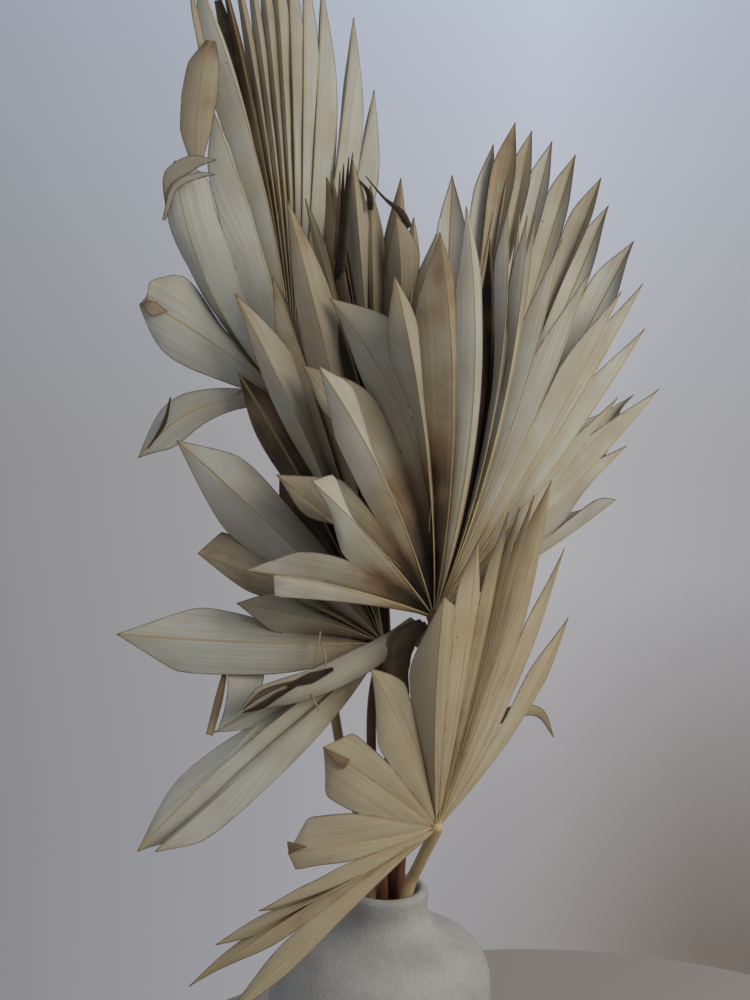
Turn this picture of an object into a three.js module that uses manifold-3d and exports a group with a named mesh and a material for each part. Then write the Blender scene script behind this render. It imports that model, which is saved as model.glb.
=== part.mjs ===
// Five dried, trimmed palm leaves ("palm suns") standing in a round stoneware bottle vase.
// Millimetres, +Z up. The origin is the centre of the vase's base, and +Y points to the back.

import * as THREE from "three";
import { mergeVertices } from "three/addons/utils/BufferGeometryUtils.js";
import Module from "manifold-3d";

const wasm = await Module();
wasm.setup();

// Vase
const BODY_RADIUS = 90;
const BASE_RADIUS = 56;
const WIDEST_HEIGHT = 85;
const SHOULDER_RISE = 68;
const SHOULDER_POWER = 2.5;
const FOOT_RADIUS = 4;
const NECK_RADIUS = 32.5;
const NECK_FILLET = 9;
const NECK_WAIST_DROP = 14; // the neck is narrowest this far below the mouth
const LIP_ROUND = 4;
const MOUTH_HEIGHT = 185;
const MOUTH_RADIUS = 24.8;
const WALL = 7;
const FLOOR_THICKNESS = 9;
const INNER_FLOOR_RADIUS = 48;
const LOWER_WALL_SHARES = [0.2, 0.45, 0.7]; // heights of the wall's points below the widest level
const LOWER_WALL_SWELL = 0.85;
const SHOULDER_RISES = [18, 32, 44, 54, 61];
const INNER_SHOULDER_RISES = [54, 40, 20];
const NECK_OFFSET = 7; // the hand-thrown neck stands a little to the right of the body
const OFFSET_START = 70;
const OFFSET_END = 150;
const VASE_SIDES = 36;

// Leaves
const LAYOUT_TILT = THREE.MathUtils.degToRad(12.5); // the leaves' layout plane leans back
const LEAF_THICKNESS = 0.8;
const ROOT_THICKNESS = 0.25;
const TIP_THICKNESS = 0.4;
const TIP_HALF_WIDTH = 0.9;
const ROOT_HALF_WIDTH = 2.4;
const SHOULDER_AT = 0.74; // where the scissor cut starts, as a share of a segment's length
const MIDRIB_STATIONS = [0, 0.3, 0.55, SHOULDER_AT, 1];
const TIP_STATION = MIDRIB_STATIONS.length - 1;
const ROW = 6; // points at a station: left edge, ridge and right edge, front and back
const SHARPEST_MITRE = 5;
const TANGENT_STEP = 0.01;
const KNOT_MARGIN = 3; // the knot covers the roots of the pleats by this much
const COLLAR_FLARE = 1.5;

const MERGE_DISTANCE = 1e-3;
const SLIVER = 0.05;
const TOUCH_GAP = 0.02;

// Stems
const STEM_STEPS = 14;
const SEAT_GAP = 0.3;
const STEM_FOOT_HEIGHT = FLOOR_THICKNESS + SEAT_GAP;

const PALE_LEAF = { color: 0x9b9a8c, roughness: 0.8, metalness: 0 };
const TAN_LEAF = { color: 0x94896f, roughness: 0.8, metalness: 0 };
const SHADED_LEAF = { color: 0x857a63, roughness: 0.85, metalness: 0 };
const TAN_STEM = { color: 0x8f7a55, roughness: 0.75, metalness: 0 };
const RED_STEM = { color: 0x5f3a28, roughness: 0.75, metalness: 0 };
const STONEWARE = { color: 0x9a9994, roughness: 0.9, metalness: 0 };

// The layout directions: right, up (leaning back) and toward the front.
const RIGHT = new THREE.Vector3(1, 0, 0);
const UP = new THREE.Vector3(0, Math.sin(LAYOUT_TILT), Math.cos(LAYOUT_TILT));
const TOWARD = new THREE.Vector3(0, -Math.cos(LAYOUT_TILT), Math.sin(LAYOUT_TILT));

// One pleated segment of a leaf. The tip is given from the leaf's hub as right, up and toward.
// half holds the flat widths of the left and right half-blade, roll turns the segment about its
// own length, fold is how far each half drops from flat, bow and sway bend the midrib toward the
// front and clockwise, and joined is how far the web to the next segment runs before it splits.
function segment(right, up, toward, half, roll, fold, bow = 0, sway = 0, joined = null) {
  return { right, up, toward, half, roll, fold, bow, sway, joined };
}

// The right leaf opens like a cup: its near side first, round the right, and back on the far side.
const RIGHT_LEAF = {
  name: "right_leaf",
  hub: [42.7, -20, 414.4],
  joined: 0.58,
  root: 11,
  skin: PALE_LEAF,
  stem: {
    skin: RED_STEM,
    width: 9,
    depth: 8,
    path: [
      [30, 8, STEM_FOOT_HEIGHT], [30, 8, 30], [23, 7, 120],
      [17, 6, 185], [24, -3, 260], [34, -13, 340],
    ],
  },
  segments: [
    segment(-121, 34, 50, [16, 15], -40, 45, 6, 4),
    segment(-144, 37, 34, [17, 17], 30, 35, 6, 6),
    segment(-92, 104, 60, [15, 19], 0, 30, 4, 4),
    segment(-120, 109, 16, [15, 30], 10, 18, 6, 2),
    segment(-87, 189, 52, [21, 20], -4, 30, 6, 9),
    segment(-101, 193, 8, [18, 33], 15, 22, 8, 12),
    segment(-80, 245, -4, [20, 26], 8, 30, 6, 20),
    segment(-31, 256, 52, [25, 20], -16, 34, 4, 9),
    segment(3, 289, 46, [30, 14], -20, 36, 6, 12),
    segment(23, 309, 40, [19, 12], -20, 36, 6, 17),
    segment(43, 291, -2, [16, 10], -30, 56, 4, 17),
    segment(55, 310, 28, [14, 10], -36, 54, 4, 17),
    segment(65, 313, 8, [9, 8], -36, 58, 4, 16),
    segment(70, 305, 22, [13, 9], -38, 56, 4, 15),
    segment(77, 308, 8, [12, 10], -40, 52, 4, 14),
    segment(98, 290, 6, [20, 16], -42, 44, 4, 10),
    segment(121, 267, -14, [21, 17], -45, 42, 4, 8),
    segment(150, 255, -50, [21, 17], -50, 42, 4, 6),
    segment(173, 266, -92, [21, 19], -56, 50, 4, 6),
    segment(177, 231, -110, [20, 19], -60, 50, 4, 6),
    segment(156, 175, -120, [14, 12], -64, 48, 4, 6),
    segment(193, 183, -140, [20, 20], -68, 40, 4, 6),
    segment(169, 136, -165, [20, 18], -76, 46, 4, 4),
    segment(162, 90, -185, [20, 18], -84, 40, 4, 4),
    segment(156, 129, -205, [20, 20], -100, 46),
    segment(179, 181, -195, [20, 20], -112, 48),
    segment(173, 308, -150, [13, 18], -140, 30),
    segment(150, 336, -136, [12, 17], -146, 30),
    segment(143, 358, -128, [12, 17], -152, 28),
    segment(121, 376, -122, [12, 18], -158, 28),
    segment(101, 386, -116, [11, 17], -164, 26),
    segment(84, 394, -112, [11, 18], -170, 24),
    segment(70, 400, -108, [11, 18], -174, 22),
    segment(52, 382, -108, [12, 17], -178, 26),
    segment(18, 356, -104, [18, 14], -182, 30),
  ],
};

// The lower front leaf hangs over the mouth, with its lowest segments in front of the neck.
const FRONT_LEAF = {
  name: "front_leaf",
  hub: [45.2, -54, 256],
  joined: 0.66,
  root: 7,
  skin: TAN_LEAF,
  stem: {
    skin: TAN_STEM,
    width: 10,
    depth: 8,
    path: [
      [2, -30, STEM_FOOT_HEIGHT], [2, -30, 30], [10, -20, 110],
      [20.1, -11.8, 170], [25.5, -14.8, 194], [32, -26, 214],
    ],
  },
  segments: [
    segment(-167, -143, 36, [11, 9], -22, 36, 6, 4, 0.56),
    segment(-188, -115, 28, [10, 11], 10, 44, 6, 4, 0.55),
    segment(-168, -84, 26, [12, 14], -10, 32, 8, -4, 0.66),
    segment(-136, -60, 18, [14, 10], 14, 30, 8, -6, 0.55),
    segment(-114, -17, 12, [15, 24], 0, 16, 4, 0, 0.62),
    segment(-87, 64, 16, [30, 22], -4, 22, 4, 2, 0.6),
    segment(-51, 124, 18, [22, 21], 0, 20, 3, 5, 0.66),
    segment(4, 180, 48, [24, 14], -12, 34, 2, -4, 0.66),
    segment(30, 222, 32, [17, 13], -16, 46, 2, 2, 0.66),
    segment(54, 243, 12, [15, 11], -16, 56, 2, 4, 0.66),
    segment(63, 246, 4, [13, 10], -18, 58, 2, 4, 0.66),
    segment(75, 256, -4, [13, 11], -20, 56, 2, 4, 0.66),
    segment(89, 267, -14, [16, 14], -25, 50, 2, 6, 0.6),
    segment(101, 214, -34, [8, 8], -30, 40, 0, 6, 0.3),
    segment(105, 159, -44, [12, 12], -30, 30, 0, 8, 0.2),
  ],
};

// The middle left leaf has few, broad segments that split almost down to the hub.
const MIDDLE_LEAF = {
  name: "middle_left_leaf",
  hub: [4.6, -1.9, 387.8],
  joined: 0.26,
  root: 7,
  skin: PALE_LEAF,
  stem: {
    skin: RED_STEM,
    width: 8,
    depth: 7,
    path: [
      [2, -2, STEM_FOOT_HEIGHT], [2, -2, 30], [3, 0, 110],
      [4, 1, 185], [-5, 1, 290], [-4, 0, 345],
    ],
  },
  segments: [
    segment(-174, -155, 42, [20, 12], -36, 45, 4, -2, 0.66),
    segment(-188, -156, 34, [16, 22], 4, 34, 6, 9, 0.2),
    segment(-132, -68, 10, [14, 5], -30, 45, 4, 0, 0.2),
    segment(-205, 9, 26, [28, 28], 4, 14, 6, -2, 0.2),
    segment(-114, 32, 14, [20, 20], -10, 22, 6, 4),
    segment(-146, 70, -8, [17, 26], -5, 20, 6, 4),
    segment(-161, 158, 8, [36, 27], 0, 20, 6, 4),
    segment(-114, 211, -8, [22, 26], 10, 28, 4, 4),
    segment(-115, 271, 16, [22, 30], -4, 22, 4, 7),
    segment(-87, 286, 2, [18, 20], -30, 38, 4, 4),
    segment(-75, 343, 18, [25, 28], -4, 28, 4, 5),
    segment(-42, 268, 4, [24, 18], -14, 34, 2, 0),
  ],
};

// The back leaf is narrow and half closed, and stands in the shade of the others.
const BACK_LEAF = {
  name: "back_leaf",
  hub: [0, 45, 532.2],
  joined: 0.5,
  root: 8,
  skin: SHADED_LEAF,
  stem: {
    skin: RED_STEM,
    width: 9,
    depth: 8,
    path: [
      [12, 34, STEM_FOOT_HEIGHT], [12, 34, 30], [11, 22, 120],
      [10, 16, 185], [9, 25, 300], [3, 38, 450],
    ],
  },
  segments: [
    segment(-58, 200, -16, [12, 12], 10, 50, 2, 0),
    segment(-41, 217, -14, [17, 17], 0, 40, 2, 0),
    segment(-37, 221, -12, [12, 12], -10, 60, 2, 0),
    segment(-20, 227, 6, [19, 19], 0, 34, 2, 0),
    segment(-6, 209, -6, [19, 19], -5, 34, 2, 0),
    segment(18, 216, -14, [19, 16], -15, 42, 2, 4),
    segment(14, 184, 8, [20, 22], 5, 26, 4, 10),
    segment(28, 184, -8, [17, 18], -15, 40, 4, 8),
    segment(46, 171, -6, [18, 16], -25, 40, 4, 8),
  ],
};

// The upper left leaf rises highest at the back, with broad drooping segments on its left.
const UPPER_LEAF = {
  name: "upper_left_leaf",
  hub: [-64.3, 86, 557],
  joined: 0.48,
  root: 9,
  skin: PALE_LEAF,
  stem: {
    skin: TAN_STEM,
    width: 8,
    depth: 7,
    path: [
      [-18, 14, STEM_FOOT_HEIGHT], [-18, 14, 30], [-12, 9, 120],
      [-5, 6, 185], [-32, 32, 300], [-54, 68, 470],
    ],
  },
  segments: [
    segment(-126, -39, 20, [17, 18], -8, 20, 12, 24, 0.35),
    segment(-128, 90, 18, [26, 34], 0, 12, 6, 4, 0.5),
    segment(-98, 198, 14, [17, 28], -10, 12, 6, -20, 0.56),
    segment(-68, 240, 4, [24, 9], -26, 34, 4, 6, 0.66),
    segment(-82, 351, -6, [24, 9], -22, 38, 4, 14),
    segment(-66, 366, -14, [12, 10], 0, 58, 2, 8),
    segment(-56, 380, -18, [13, 12], 0, 58, 2, 6),
    segment(-45, 388, -22, [14, 12], 0, 56, 2, 5),
    segment(-34, 393, -26, [14, 13], 4, 46, 2, 4),
    segment(-22, 395, -30, [16, 15], 10, 40, 2, 3),
    segment(-10, 390, -34, [16, 16], 24, 44, 2, 2),
    segment(3, 377, -38, [15, 17], 28, 46, 2, 2),
    segment(18, 354, -44, [16, 20], 30, 44, 2, 2),
    segment(44, 328, -50, [17, 22], 32, 46, 2, 4),
    segment(61, 269, -56, [17, 20], 34, 44, 2, 4),
  ],
};

const LEAVES = [RIGHT_LEAF, FRONT_LEAF, MIDDLE_LEAF, BACK_LEAF, UPPER_LEAF];

function layout(right, up, toward) {
  return new THREE.Vector3()
    .addScaledVector(RIGHT, right)
    .addScaledVector(UP, up)
    .addScaledVector(TOWARD, toward);
}

// A closed three.js geometry as a manifold solid.
function toSolid(geometry) {
  const bare = geometry.clone();
  bare.deleteAttribute("normal");
  bare.deleteAttribute("uv");
  const merged = mergeVertices(bare, MERGE_DISTANCE);
  return new wasm.Manifold(new wasm.Mesh({
    numProp: 3,
    vertProperties: Float32Array.from(merged.attributes.position.array),
    triVerts: Uint32Array.from(merged.index.array),
  }));
}

function toGeometry(solid) {
  const mesh = solid.getMesh();
  const geometry = new THREE.BufferGeometry();
  geometry.setAttribute("position", new THREE.BufferAttribute(mesh.vertProperties, 3));
  geometry.setIndex(new THREE.BufferAttribute(mesh.triVerts, 1));
  geometry.computeVertexNormals();
  return geometry;
}

// A segment's midrib: a bowed line from the hub to the tip, at a share t of its length.
function midribPoint(leaf, seg, t) {
  const tip = layout(seg.right, seg.up, seg.toward);
  const along = tip.clone().normalize();
  const across = new THREE.Vector3().crossVectors(along, TOWARD).normalize();
  const front = new THREE.Vector3().crossVectors(across, along);
  const bend = 4 * t * (1 - t);
  return new THREE.Vector3(...leaf.hub)
    .addScaledVector(tip, t)
    .addScaledVector(front, seg.bow * bend)
    .addScaledVector(across, seg.sway * bend);
}

// The segment's own axes at t: along the midrib, across it and out of the ridge.
function midribFrame(leaf, seg, t) {
  const along = midribPoint(leaf, seg, t + TANGENT_STEP)
    .sub(midribPoint(leaf, seg, t - TANGENT_STEP))
    .normalize();
  const flat = new THREE.Vector3().crossVectors(along, TOWARD).normalize();
  const front = new THREE.Vector3().crossVectors(flat, along);
  const roll = THREE.MathUtils.degToRad(seg.roll);
  const across = flat.clone().multiplyScalar(Math.cos(roll)).addScaledVector(front, Math.sin(roll));
  const out = new THREE.Vector3().crossVectors(across, along).normalize();
  return { along, across, out };
}

function segmentLength(seg) {
  return Math.hypot(seg.right, seg.up, seg.toward);
}

// Flat width of a half-blade at t: it widens to the shoulder, then the cut runs to the tip;
// side is -1 for the left half, +1 for the right.
function halfWidth(seg, side, t) {
  const half = seg.half[side < 0 ? 0 : 1];
  if (t <= SHOULDER_AT) {
    return Math.max(ROOT_HALF_WIDTH, half * t / SHOULDER_AT);
  }
  return Math.max(TIP_HALF_WIDTH, half * (1 - t) / (1 - SHOULDER_AT));
}

// Where a segment's edge would lie if it were cut free all the way.
function freeEdgePoint(leaf, seg, side, t) {
  const { across, out } = midribFrame(leaf, seg, t);
  const fold = THREE.MathUtils.degToRad(seg.fold);
  const width = halfWidth(seg, side, t);
  return midribPoint(leaf, seg, t)
    .addScaledVector(across, side * width * Math.cos(fold))
    .addScaledVector(out, -width * Math.sin(fold));
}

// The face normal of a half-blade, from the midrib's direction and the way to the edge.
function plateNormal(along, toEdge, side) {
  return new THREE.Vector3().crossVectors(toEdge, along).multiplyScalar(side).normalize();
}

// The front and back points of a sheet of a given thickness where plates meet at a crease.
function creaseSection(point, normals, thickness) {
  const mean = new THREE.Vector3();
  normals.forEach((normal) => mean.add(normal));
  mean.normalize();
  const mitre = Math.min(SHARPEST_MITRE, 1 / Math.max(0.1, mean.dot(normals[0])));
  const offset = mean.multiplyScalar(thickness * mitre / 2);
  return [point.clone().add(offset), point.clone().sub(offset)];
}

// The valley that two neighbouring segments share, at a distance from the hub: halfway
// between their midribs and as deep as the width of the half-blades allows.
function valleySection(leaf, left, right, distance, thickness) {
  const tLeft = distance / segmentLength(left);
  const tRight = distance / segmentLength(right);
  const ribLeft = midribPoint(leaf, left, tLeft);
  const ribRight = midribPoint(leaf, right, tRight);
  const frameLeft = midribFrame(leaf, left, tLeft);
  const frameRight = midribFrame(leaf, right, tRight);
  const out = frameLeft.out.clone().add(frameRight.out).normalize();
  const width = (halfWidth(left, 1, tLeft) + halfWidth(right, -1, tRight)) / 2;
  const apart = ribLeft.distanceTo(ribRight) / 2;
  const depth = Math.sqrt(Math.max(0, width * width - apart * apart));
  const valley = ribLeft.clone().add(ribRight).multiplyScalar(0.5).addScaledVector(out, -depth);
  const normals = [
    plateNormal(frameLeft.along, valley.clone().sub(ribLeft), 1),
    plateNormal(frameRight.along, valley.clone().sub(ribRight), -1),
  ];
  return creaseSection(valley, normals, thickness);
}

function stationThickness(station) {
  if (station === 0) {
    return ROOT_THICKNESS;
  }
  return station === TIP_STATION ? TIP_THICKNESS : LEAF_THICKNESS;
}

// The edge of a segment from hub to tip, on the side of its neighbour if it has one.
function edgeSections(leaf, seg, side, neighbour) {
  const length = segmentLength(seg);
  const free = (t, station) => {
    const rib = midribPoint(leaf, seg, t);
    const edge = freeEdgePoint(leaf, seg, side, t);
    const normal = plateNormal(midribFrame(leaf, seg, t).along, edge.clone().sub(rib), side);
    return creaseSection(edge, [normal], stationThickness(station));
  };
  if (!neighbour) {
    return MIDRIB_STATIONS.map((share, station) => free(Math.max(share, leaf.root / length), station));
  }
  const [left, right] = side > 0 ? [seg, neighbour] : [neighbour, seg];
  const split = (left.joined ?? leaf.joined) * Math.min(length, segmentLength(neighbour));
  const shared = [leaf.root, split / 2, split].map((distance, station) => (
    valleySection(leaf, left, right, distance, stationThickness(station))
  ));
  return [...shared, free(SHOULDER_AT, TIP_STATION - 1), free(1, TIP_STATION)];
}

// A closed sheet of two half-blades that meet at the midrib.
function segmentSolid(leaf, index) {
  const seg = leaf.segments[index];
  const root = leaf.root / segmentLength(seg);
  const lefts = edgeSections(leaf, seg, -1, leaf.segments[index - 1]);
  const rights = edgeSections(leaf, seg, 1, leaf.segments[index + 1]);
  const positions = [];
  MIDRIB_STATIONS.forEach((share, station) => {
    const t = Math.max(share, root);
    const rib = midribPoint(leaf, seg, t);
    const { along } = midribFrame(leaf, seg, t);
    const middle = (section) => section[0].clone().add(section[1]).multiplyScalar(0.5).sub(rib);
    const normals = [
      plateNormal(along, middle(lefts[station]), -1),
      plateNormal(along, middle(rights[station]), 1),
    ];
    const ridge = creaseSection(rib, normals, stationThickness(station));
    for (const face of [0, 1]) {
      positions.push(...lefts[station][face], ...ridge[face], ...rights[station][face]);
    }
  });
  const indices = [];
  const quad = (a, b, c, d) => indices.push(a, b, c, a, c, d);
  for (let k = 0; k < TIP_STATION; k += 1) {
    const here = k * ROW;
    const next = here + ROW;
    for (const column of [0, 1]) {
      quad(here + column, here + column + 1, next + column + 1, next + column);
      quad(here + 3 + column, next + 3 + column, next + 4 + column, here + 4 + column);
    }
    quad(here, next, next + 3, here + 3);
    quad(here + 2, here + 5, next + 5, next + 2);
  }
  const end = TIP_STATION * ROW;
  for (const column of [0, 1]) {
    quad(3 + column, 4 + column, 1 + column, column);
    quad(end + column, end + 1 + column, end + 4 + column, end + 3 + column);
  }
  const geometry = new THREE.BufferGeometry();
  geometry.setAttribute("position", new THREE.Float32BufferAttribute(positions, 3));
  geometry.setIndex(indices);
  return toSolid(geometry);
}

function stemCurve(leaf) {
  return new THREE.CatmullRomCurve3(leaf.stem.path.map((point) => new THREE.Vector3(...point)));
}

// The hub is the knot where all pleats meet, with a collar that sits on the stem's end.
function hubSolid(leaf) {
  const hub = new THREE.Vector3(...leaf.hub);
  const curve = stemCurve(leaf);
  const axis = curve.getTangentAt(1);
  const seat = curve.getPointAt(1).addScaledVector(axis, SEAT_GAP);
  const knot = new THREE.SphereGeometry(leaf.root + KNOT_MARGIN, 12, 8).translate(...leaf.hub);
  const length = hub.distanceTo(seat);
  const radius = leaf.stem.depth / 2;
  const middle = seat.clone().addScaledVector(axis, length / 2);
  const collar = new THREE.CylinderGeometry(radius + COLLAR_FLARE, radius, length, 12)
    .applyQuaternion(new THREE.Quaternion().setFromUnitVectors(new THREE.Vector3(0, 1, 0), axis))
    .translate(...middle);
  return toSolid(knot).add(toSolid(collar));
}

// Where two pleats touch along an edge, each draws back by a hair, so the body stays closed.
function partTouchingEdges(geometry) {
  const position = geometry.attributes.position;
  const normal = geometry.attributes.normal;
  const places = new Map();
  for (let i = 0; i < position.count; i += 1) {
    const place = [position.getX(i), position.getY(i), position.getZ(i)]
      .map((value) => Math.round(value / MERGE_DISTANCE))
      .join();
    places.set(place, [...(places.get(place) ?? []), i]);
  }
  const touching = [...places.values()].filter((indices) => indices.length > 1).flat();
  for (const i of touching) {
    position.setXYZ(
      i,
      position.getX(i) - TOUCH_GAP * normal.getX(i),
      position.getY(i) - TOUCH_GAP * normal.getY(i),
      position.getZ(i) - TOUCH_GAP * normal.getZ(i),
    );
  }
  return geometry;
}

// The largest of a solid's shells, which leaves out the closed pockets between pleats.
function outerShell(shells) {
  return shells.reduce((best, shell) => (shell.volume() > best.volume() ? shell : best));
}

// Pleats that meet are fused solid and the join is cleared of slivers. Drawing touching
// edges back can cut off another pocket, so it is repeated until one shell is left.
function fusedGeometry(solid) {
  let shells = solid.simplify(SLIVER).decompose();
  let geometry = null;
  do {
    geometry = partTouchingEdges(toGeometry(outerShell(shells)));
    shells = toSolid(geometry).decompose();
  } while (shells.length > 1);
  return geometry;
}

function makeBlade(leaf) {
  let solid = hubSolid(leaf);
  leaf.segments.forEach((_, index) => {
    solid = solid.add(segmentSolid(leaf, index));
  });
  const mesh = new THREE.Mesh(fusedGeometry(solid), new THREE.MeshStandardMaterial(leaf.skin));
  mesh.name = `${leaf.name}_blade`;
  return mesh;
}

// A leaf stalk: a flattened round section along its path.
function makeStem(leaf) {
  const { width, depth, skin } = leaf.stem;
  const outline = new THREE.Shape().absellipse(0, 0, depth / 2, width / 2, 0, 2 * Math.PI);
  const geometry = new THREE.ExtrudeGeometry(outline, {
    curveSegments: 5,
    steps: STEM_STEPS,
    extrudePath: stemCurve(leaf),
  });
  const mesh = new THREE.Mesh(geometry, new THREE.MeshStandardMaterial(skin));
  mesh.name = `${leaf.name}_stem`;
  return mesh;
}

// Radius of the round body at a height above its widest level.
function shoulderRadius(rise) {
  const share = Math.min(1, rise / SHOULDER_RISE);
  return BODY_RADIUS * (1 - share ** SHOULDER_POWER) ** (1 / SHOULDER_POWER);
}

// The vase's wall, turned about its axis: outside from the base up, over the lip and back down.
function vaseProfile() {
  const neckBottom = WIDEST_HEIGHT + SHOULDER_RISE;
  const points = [[0, 0], [BASE_RADIUS - FOOT_RADIUS, 0], [BASE_RADIUS, FOOT_RADIUS]];
  for (const share of LOWER_WALL_SHARES) {
    const swell = Math.sin(share * Math.PI / 2) ** LOWER_WALL_SWELL;
    points.push([BASE_RADIUS + (BODY_RADIUS - BASE_RADIUS) * swell, WIDEST_HEIGHT * share]);
  }
  points.push([BODY_RADIUS, WIDEST_HEIGHT]);
  for (const rise of SHOULDER_RISES) {
    points.push([shoulderRadius(rise), WIDEST_HEIGHT + rise]);
  }
  points.push([NECK_RADIUS + NECK_FILLET, neckBottom - 1.5], [NECK_RADIUS + 1, neckBottom + NECK_FILLET]);
  points.push([NECK_RADIUS, MOUTH_HEIGHT - NECK_WAIST_DROP]);
  points.push([NECK_RADIUS + 0.6, MOUTH_HEIGHT - LIP_ROUND]);
  points.push([NECK_RADIUS - 1.8, MOUTH_HEIGHT - 0.7], [NECK_RADIUS - LIP_ROUND, MOUTH_HEIGHT]);
  points.push([MOUTH_RADIUS + 1.2, MOUTH_HEIGHT - 1.2], [MOUTH_RADIUS, MOUTH_HEIGHT - LIP_ROUND]);
  points.push([MOUTH_RADIUS, neckBottom - 2]);
  for (const rise of INNER_SHOULDER_RISES) {
    points.push([shoulderRadius(rise) - WALL, WIDEST_HEIGHT + rise - WALL]);
  }
  points.push([BODY_RADIUS - WALL, WIDEST_HEIGHT - 8], [76, 42], [62, 20]);
  points.push([INNER_FLOOR_RADIUS, FLOOR_THICKNESS], [0, FLOOR_THICKNESS]);
  return points.map(([radius, height]) => new THREE.Vector2(radius, height));
}

function makeVase() {
  const geometry = new THREE.LatheGeometry(vaseProfile(), VASE_SIDES).rotateX(Math.PI / 2);
  const position = geometry.attributes.position;
  for (let i = 0; i < position.count; i += 1) {
    const lift = THREE.MathUtils.smoothstep(position.getZ(i), OFFSET_START, OFFSET_END);
    position.setX(i, position.getX(i) + NECK_OFFSET * lift);
  }
  const mesh = new THREE.Mesh(geometry, new THREE.MeshStandardMaterial(STONEWARE));
  mesh.name = "vase";
  return mesh;
}

const palmSuns = new THREE.Group();
palmSuns.add(makeVase());
for (const leaf of LEAVES) {
  palmSuns.add(makeStem(leaf), makeBlade(leaf));
}

export default palmSuns;
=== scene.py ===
"""Five dried, trimmed palm leaves ("palm suns") in a round stoneware bottle vase.

Lengths in the dataclasses are millimetres in the part's frame, and meshes are made in metres. Each leaf's
segments, its hub and its stalk's path are the same places that the solid part is built from.
"""

import logging
import math
import random
from collections.abc import Callable
from dataclasses import dataclass, field
from enum import Enum
from functools import partial
from typing import NamedTuple

import bpy
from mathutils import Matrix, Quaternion, Vector, noise


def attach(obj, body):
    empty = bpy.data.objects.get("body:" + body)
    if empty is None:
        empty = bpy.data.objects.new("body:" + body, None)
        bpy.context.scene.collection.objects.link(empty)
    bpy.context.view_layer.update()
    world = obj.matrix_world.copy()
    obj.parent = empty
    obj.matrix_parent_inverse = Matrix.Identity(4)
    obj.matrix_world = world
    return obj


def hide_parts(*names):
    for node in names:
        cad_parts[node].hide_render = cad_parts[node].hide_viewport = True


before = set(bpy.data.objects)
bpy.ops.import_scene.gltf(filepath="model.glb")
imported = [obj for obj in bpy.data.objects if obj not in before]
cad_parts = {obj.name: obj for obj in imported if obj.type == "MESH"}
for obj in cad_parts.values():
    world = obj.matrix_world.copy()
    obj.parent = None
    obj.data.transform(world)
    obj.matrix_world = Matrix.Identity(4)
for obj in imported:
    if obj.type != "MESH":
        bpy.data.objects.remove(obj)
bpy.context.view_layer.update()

LOG = logging.getLogger("palm_suns")
MM = 0.001
FAR = 60.0  # a distance in mm that is beyond the reach of every edge effect
GRAIN_MAP = "grain"
# Per corner: the tone, with the painted shade toward the hub on blades, the margin and valley distances and
# the share of the length.
TONE_AND_SHADE_MAP = "wear"

LAYOUT_TILT = math.radians(12.5)
RIGHT = Vector((1.0, 0.0, 0.0))
UP = Vector((0.0, math.sin(LAYOUT_TILT), math.cos(LAYOUT_TILT)))
TOWARD = Vector((0.0, -math.cos(LAYOUT_TILT), math.sin(LAYOUT_TILT)))

Place = tuple[float, float, float]
Colour = tuple[float, float, float, float]
Socket = bpy.types.NodeSocket
AddNode = Callable[..., Socket | None]


class Tone(Enum):
    """How far a piece of leaf has dried from grey-green (0) over tan and russet to brown (1); tones past
    brown are painted shadow.
    """

    SAGE = 0.04
    PALE = 0.16
    CREAM = 0.3
    TAN = 0.48
    OCHRE = 0.58
    RUSSET = 0.72
    BROWN = 0.92
    # Painted shadow: a very dark tone for leaf that stands in deep shade.
    SCORCHED = 1.25


class Slot(Enum):
    """The record's material slots."""

    STONEWARE = "stoneware"
    PALE_LEAF = "pale_palm_leaf"
    TAN_LEAF = "tan_palm_leaf"
    SHADED_LEAF = "shaded_palm_leaf"
    TAN_STALK = "tan_stalk"
    RED_BROWN_STALK = "red_brown_stalk"


class Side(Enum):
    """The two half-blades of a segment, seen from the front with the tip up."""

    LEFT = -1
    RIGHT = 1


class Corner(NamedTuple):
    """What the finish knows about one face corner; distances in mm."""

    across: float
    along: float
    tone: float
    margin: float
    valley: float
    share: float


def smoothstep(low: float, high: float, value: float) -> float:
    """Eases from 0 at low to 1 at high.

    Args:
        low: where the rise starts.
        high: where it ends.
        value: the place to read.

    Returns:
        The eased share.
    """
    share = min(1.0, max(0.0, (value - low) / (high - low)))
    return share * share * (3.0 - 2.0 * share)


def layout(right: float, up: float, toward: float) -> Vector:
    """Turns a distance right, up and toward the front into the part's frame.

    Args:
        right: to the right.
        up: up along the leaning layout plane.
        toward: out of that plane to the front.

    Returns:
        The vector in mm.
    """
    return RIGHT * right + UP * up + TOWARD * toward


def smooth_line(points: list[Vector], per_span: int) -> list[Vector]:
    """Runs a centripetal Catmull-Rom curve through points.

    Args:
        points: the points that it passes.
        per_span: how many steps are made between two points.

    Returns:
        The points along the curve, both ends included.
    """
    padded = [points[0] * 2 - points[1], *points, points[-1] * 2 - points[-2]]
    line = []
    for before, start, end, after in zip(padded, padded[1:], padded[2:], padded[3:]):
        gap_0 = max((start - before).length ** 0.5, 1e-4)
        gap_1 = max((end - start).length ** 0.5, 1e-4)
        gap_2 = max((after - end).length ** 0.5, 1e-4)
        leave = (start - before) / gap_0 - (end - before) / (gap_0 + gap_1) + (end - start) / gap_1
        arrive = (end - start) / gap_1 - (after - start) / (gap_1 + gap_2) + (after - end) / gap_2
        leave = leave * gap_1
        arrive = arrive * gap_1
        for step in range(per_span):
            t = step / per_span
            square = start * -3 + end * 3 - leave * 2 - arrive
            cube = start * 2 - end * 2 + leave + arrive
            line.append(start + leave * t + square * t**2 + cube * t**3)
    line.append(points[-1].copy())
    return line


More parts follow.
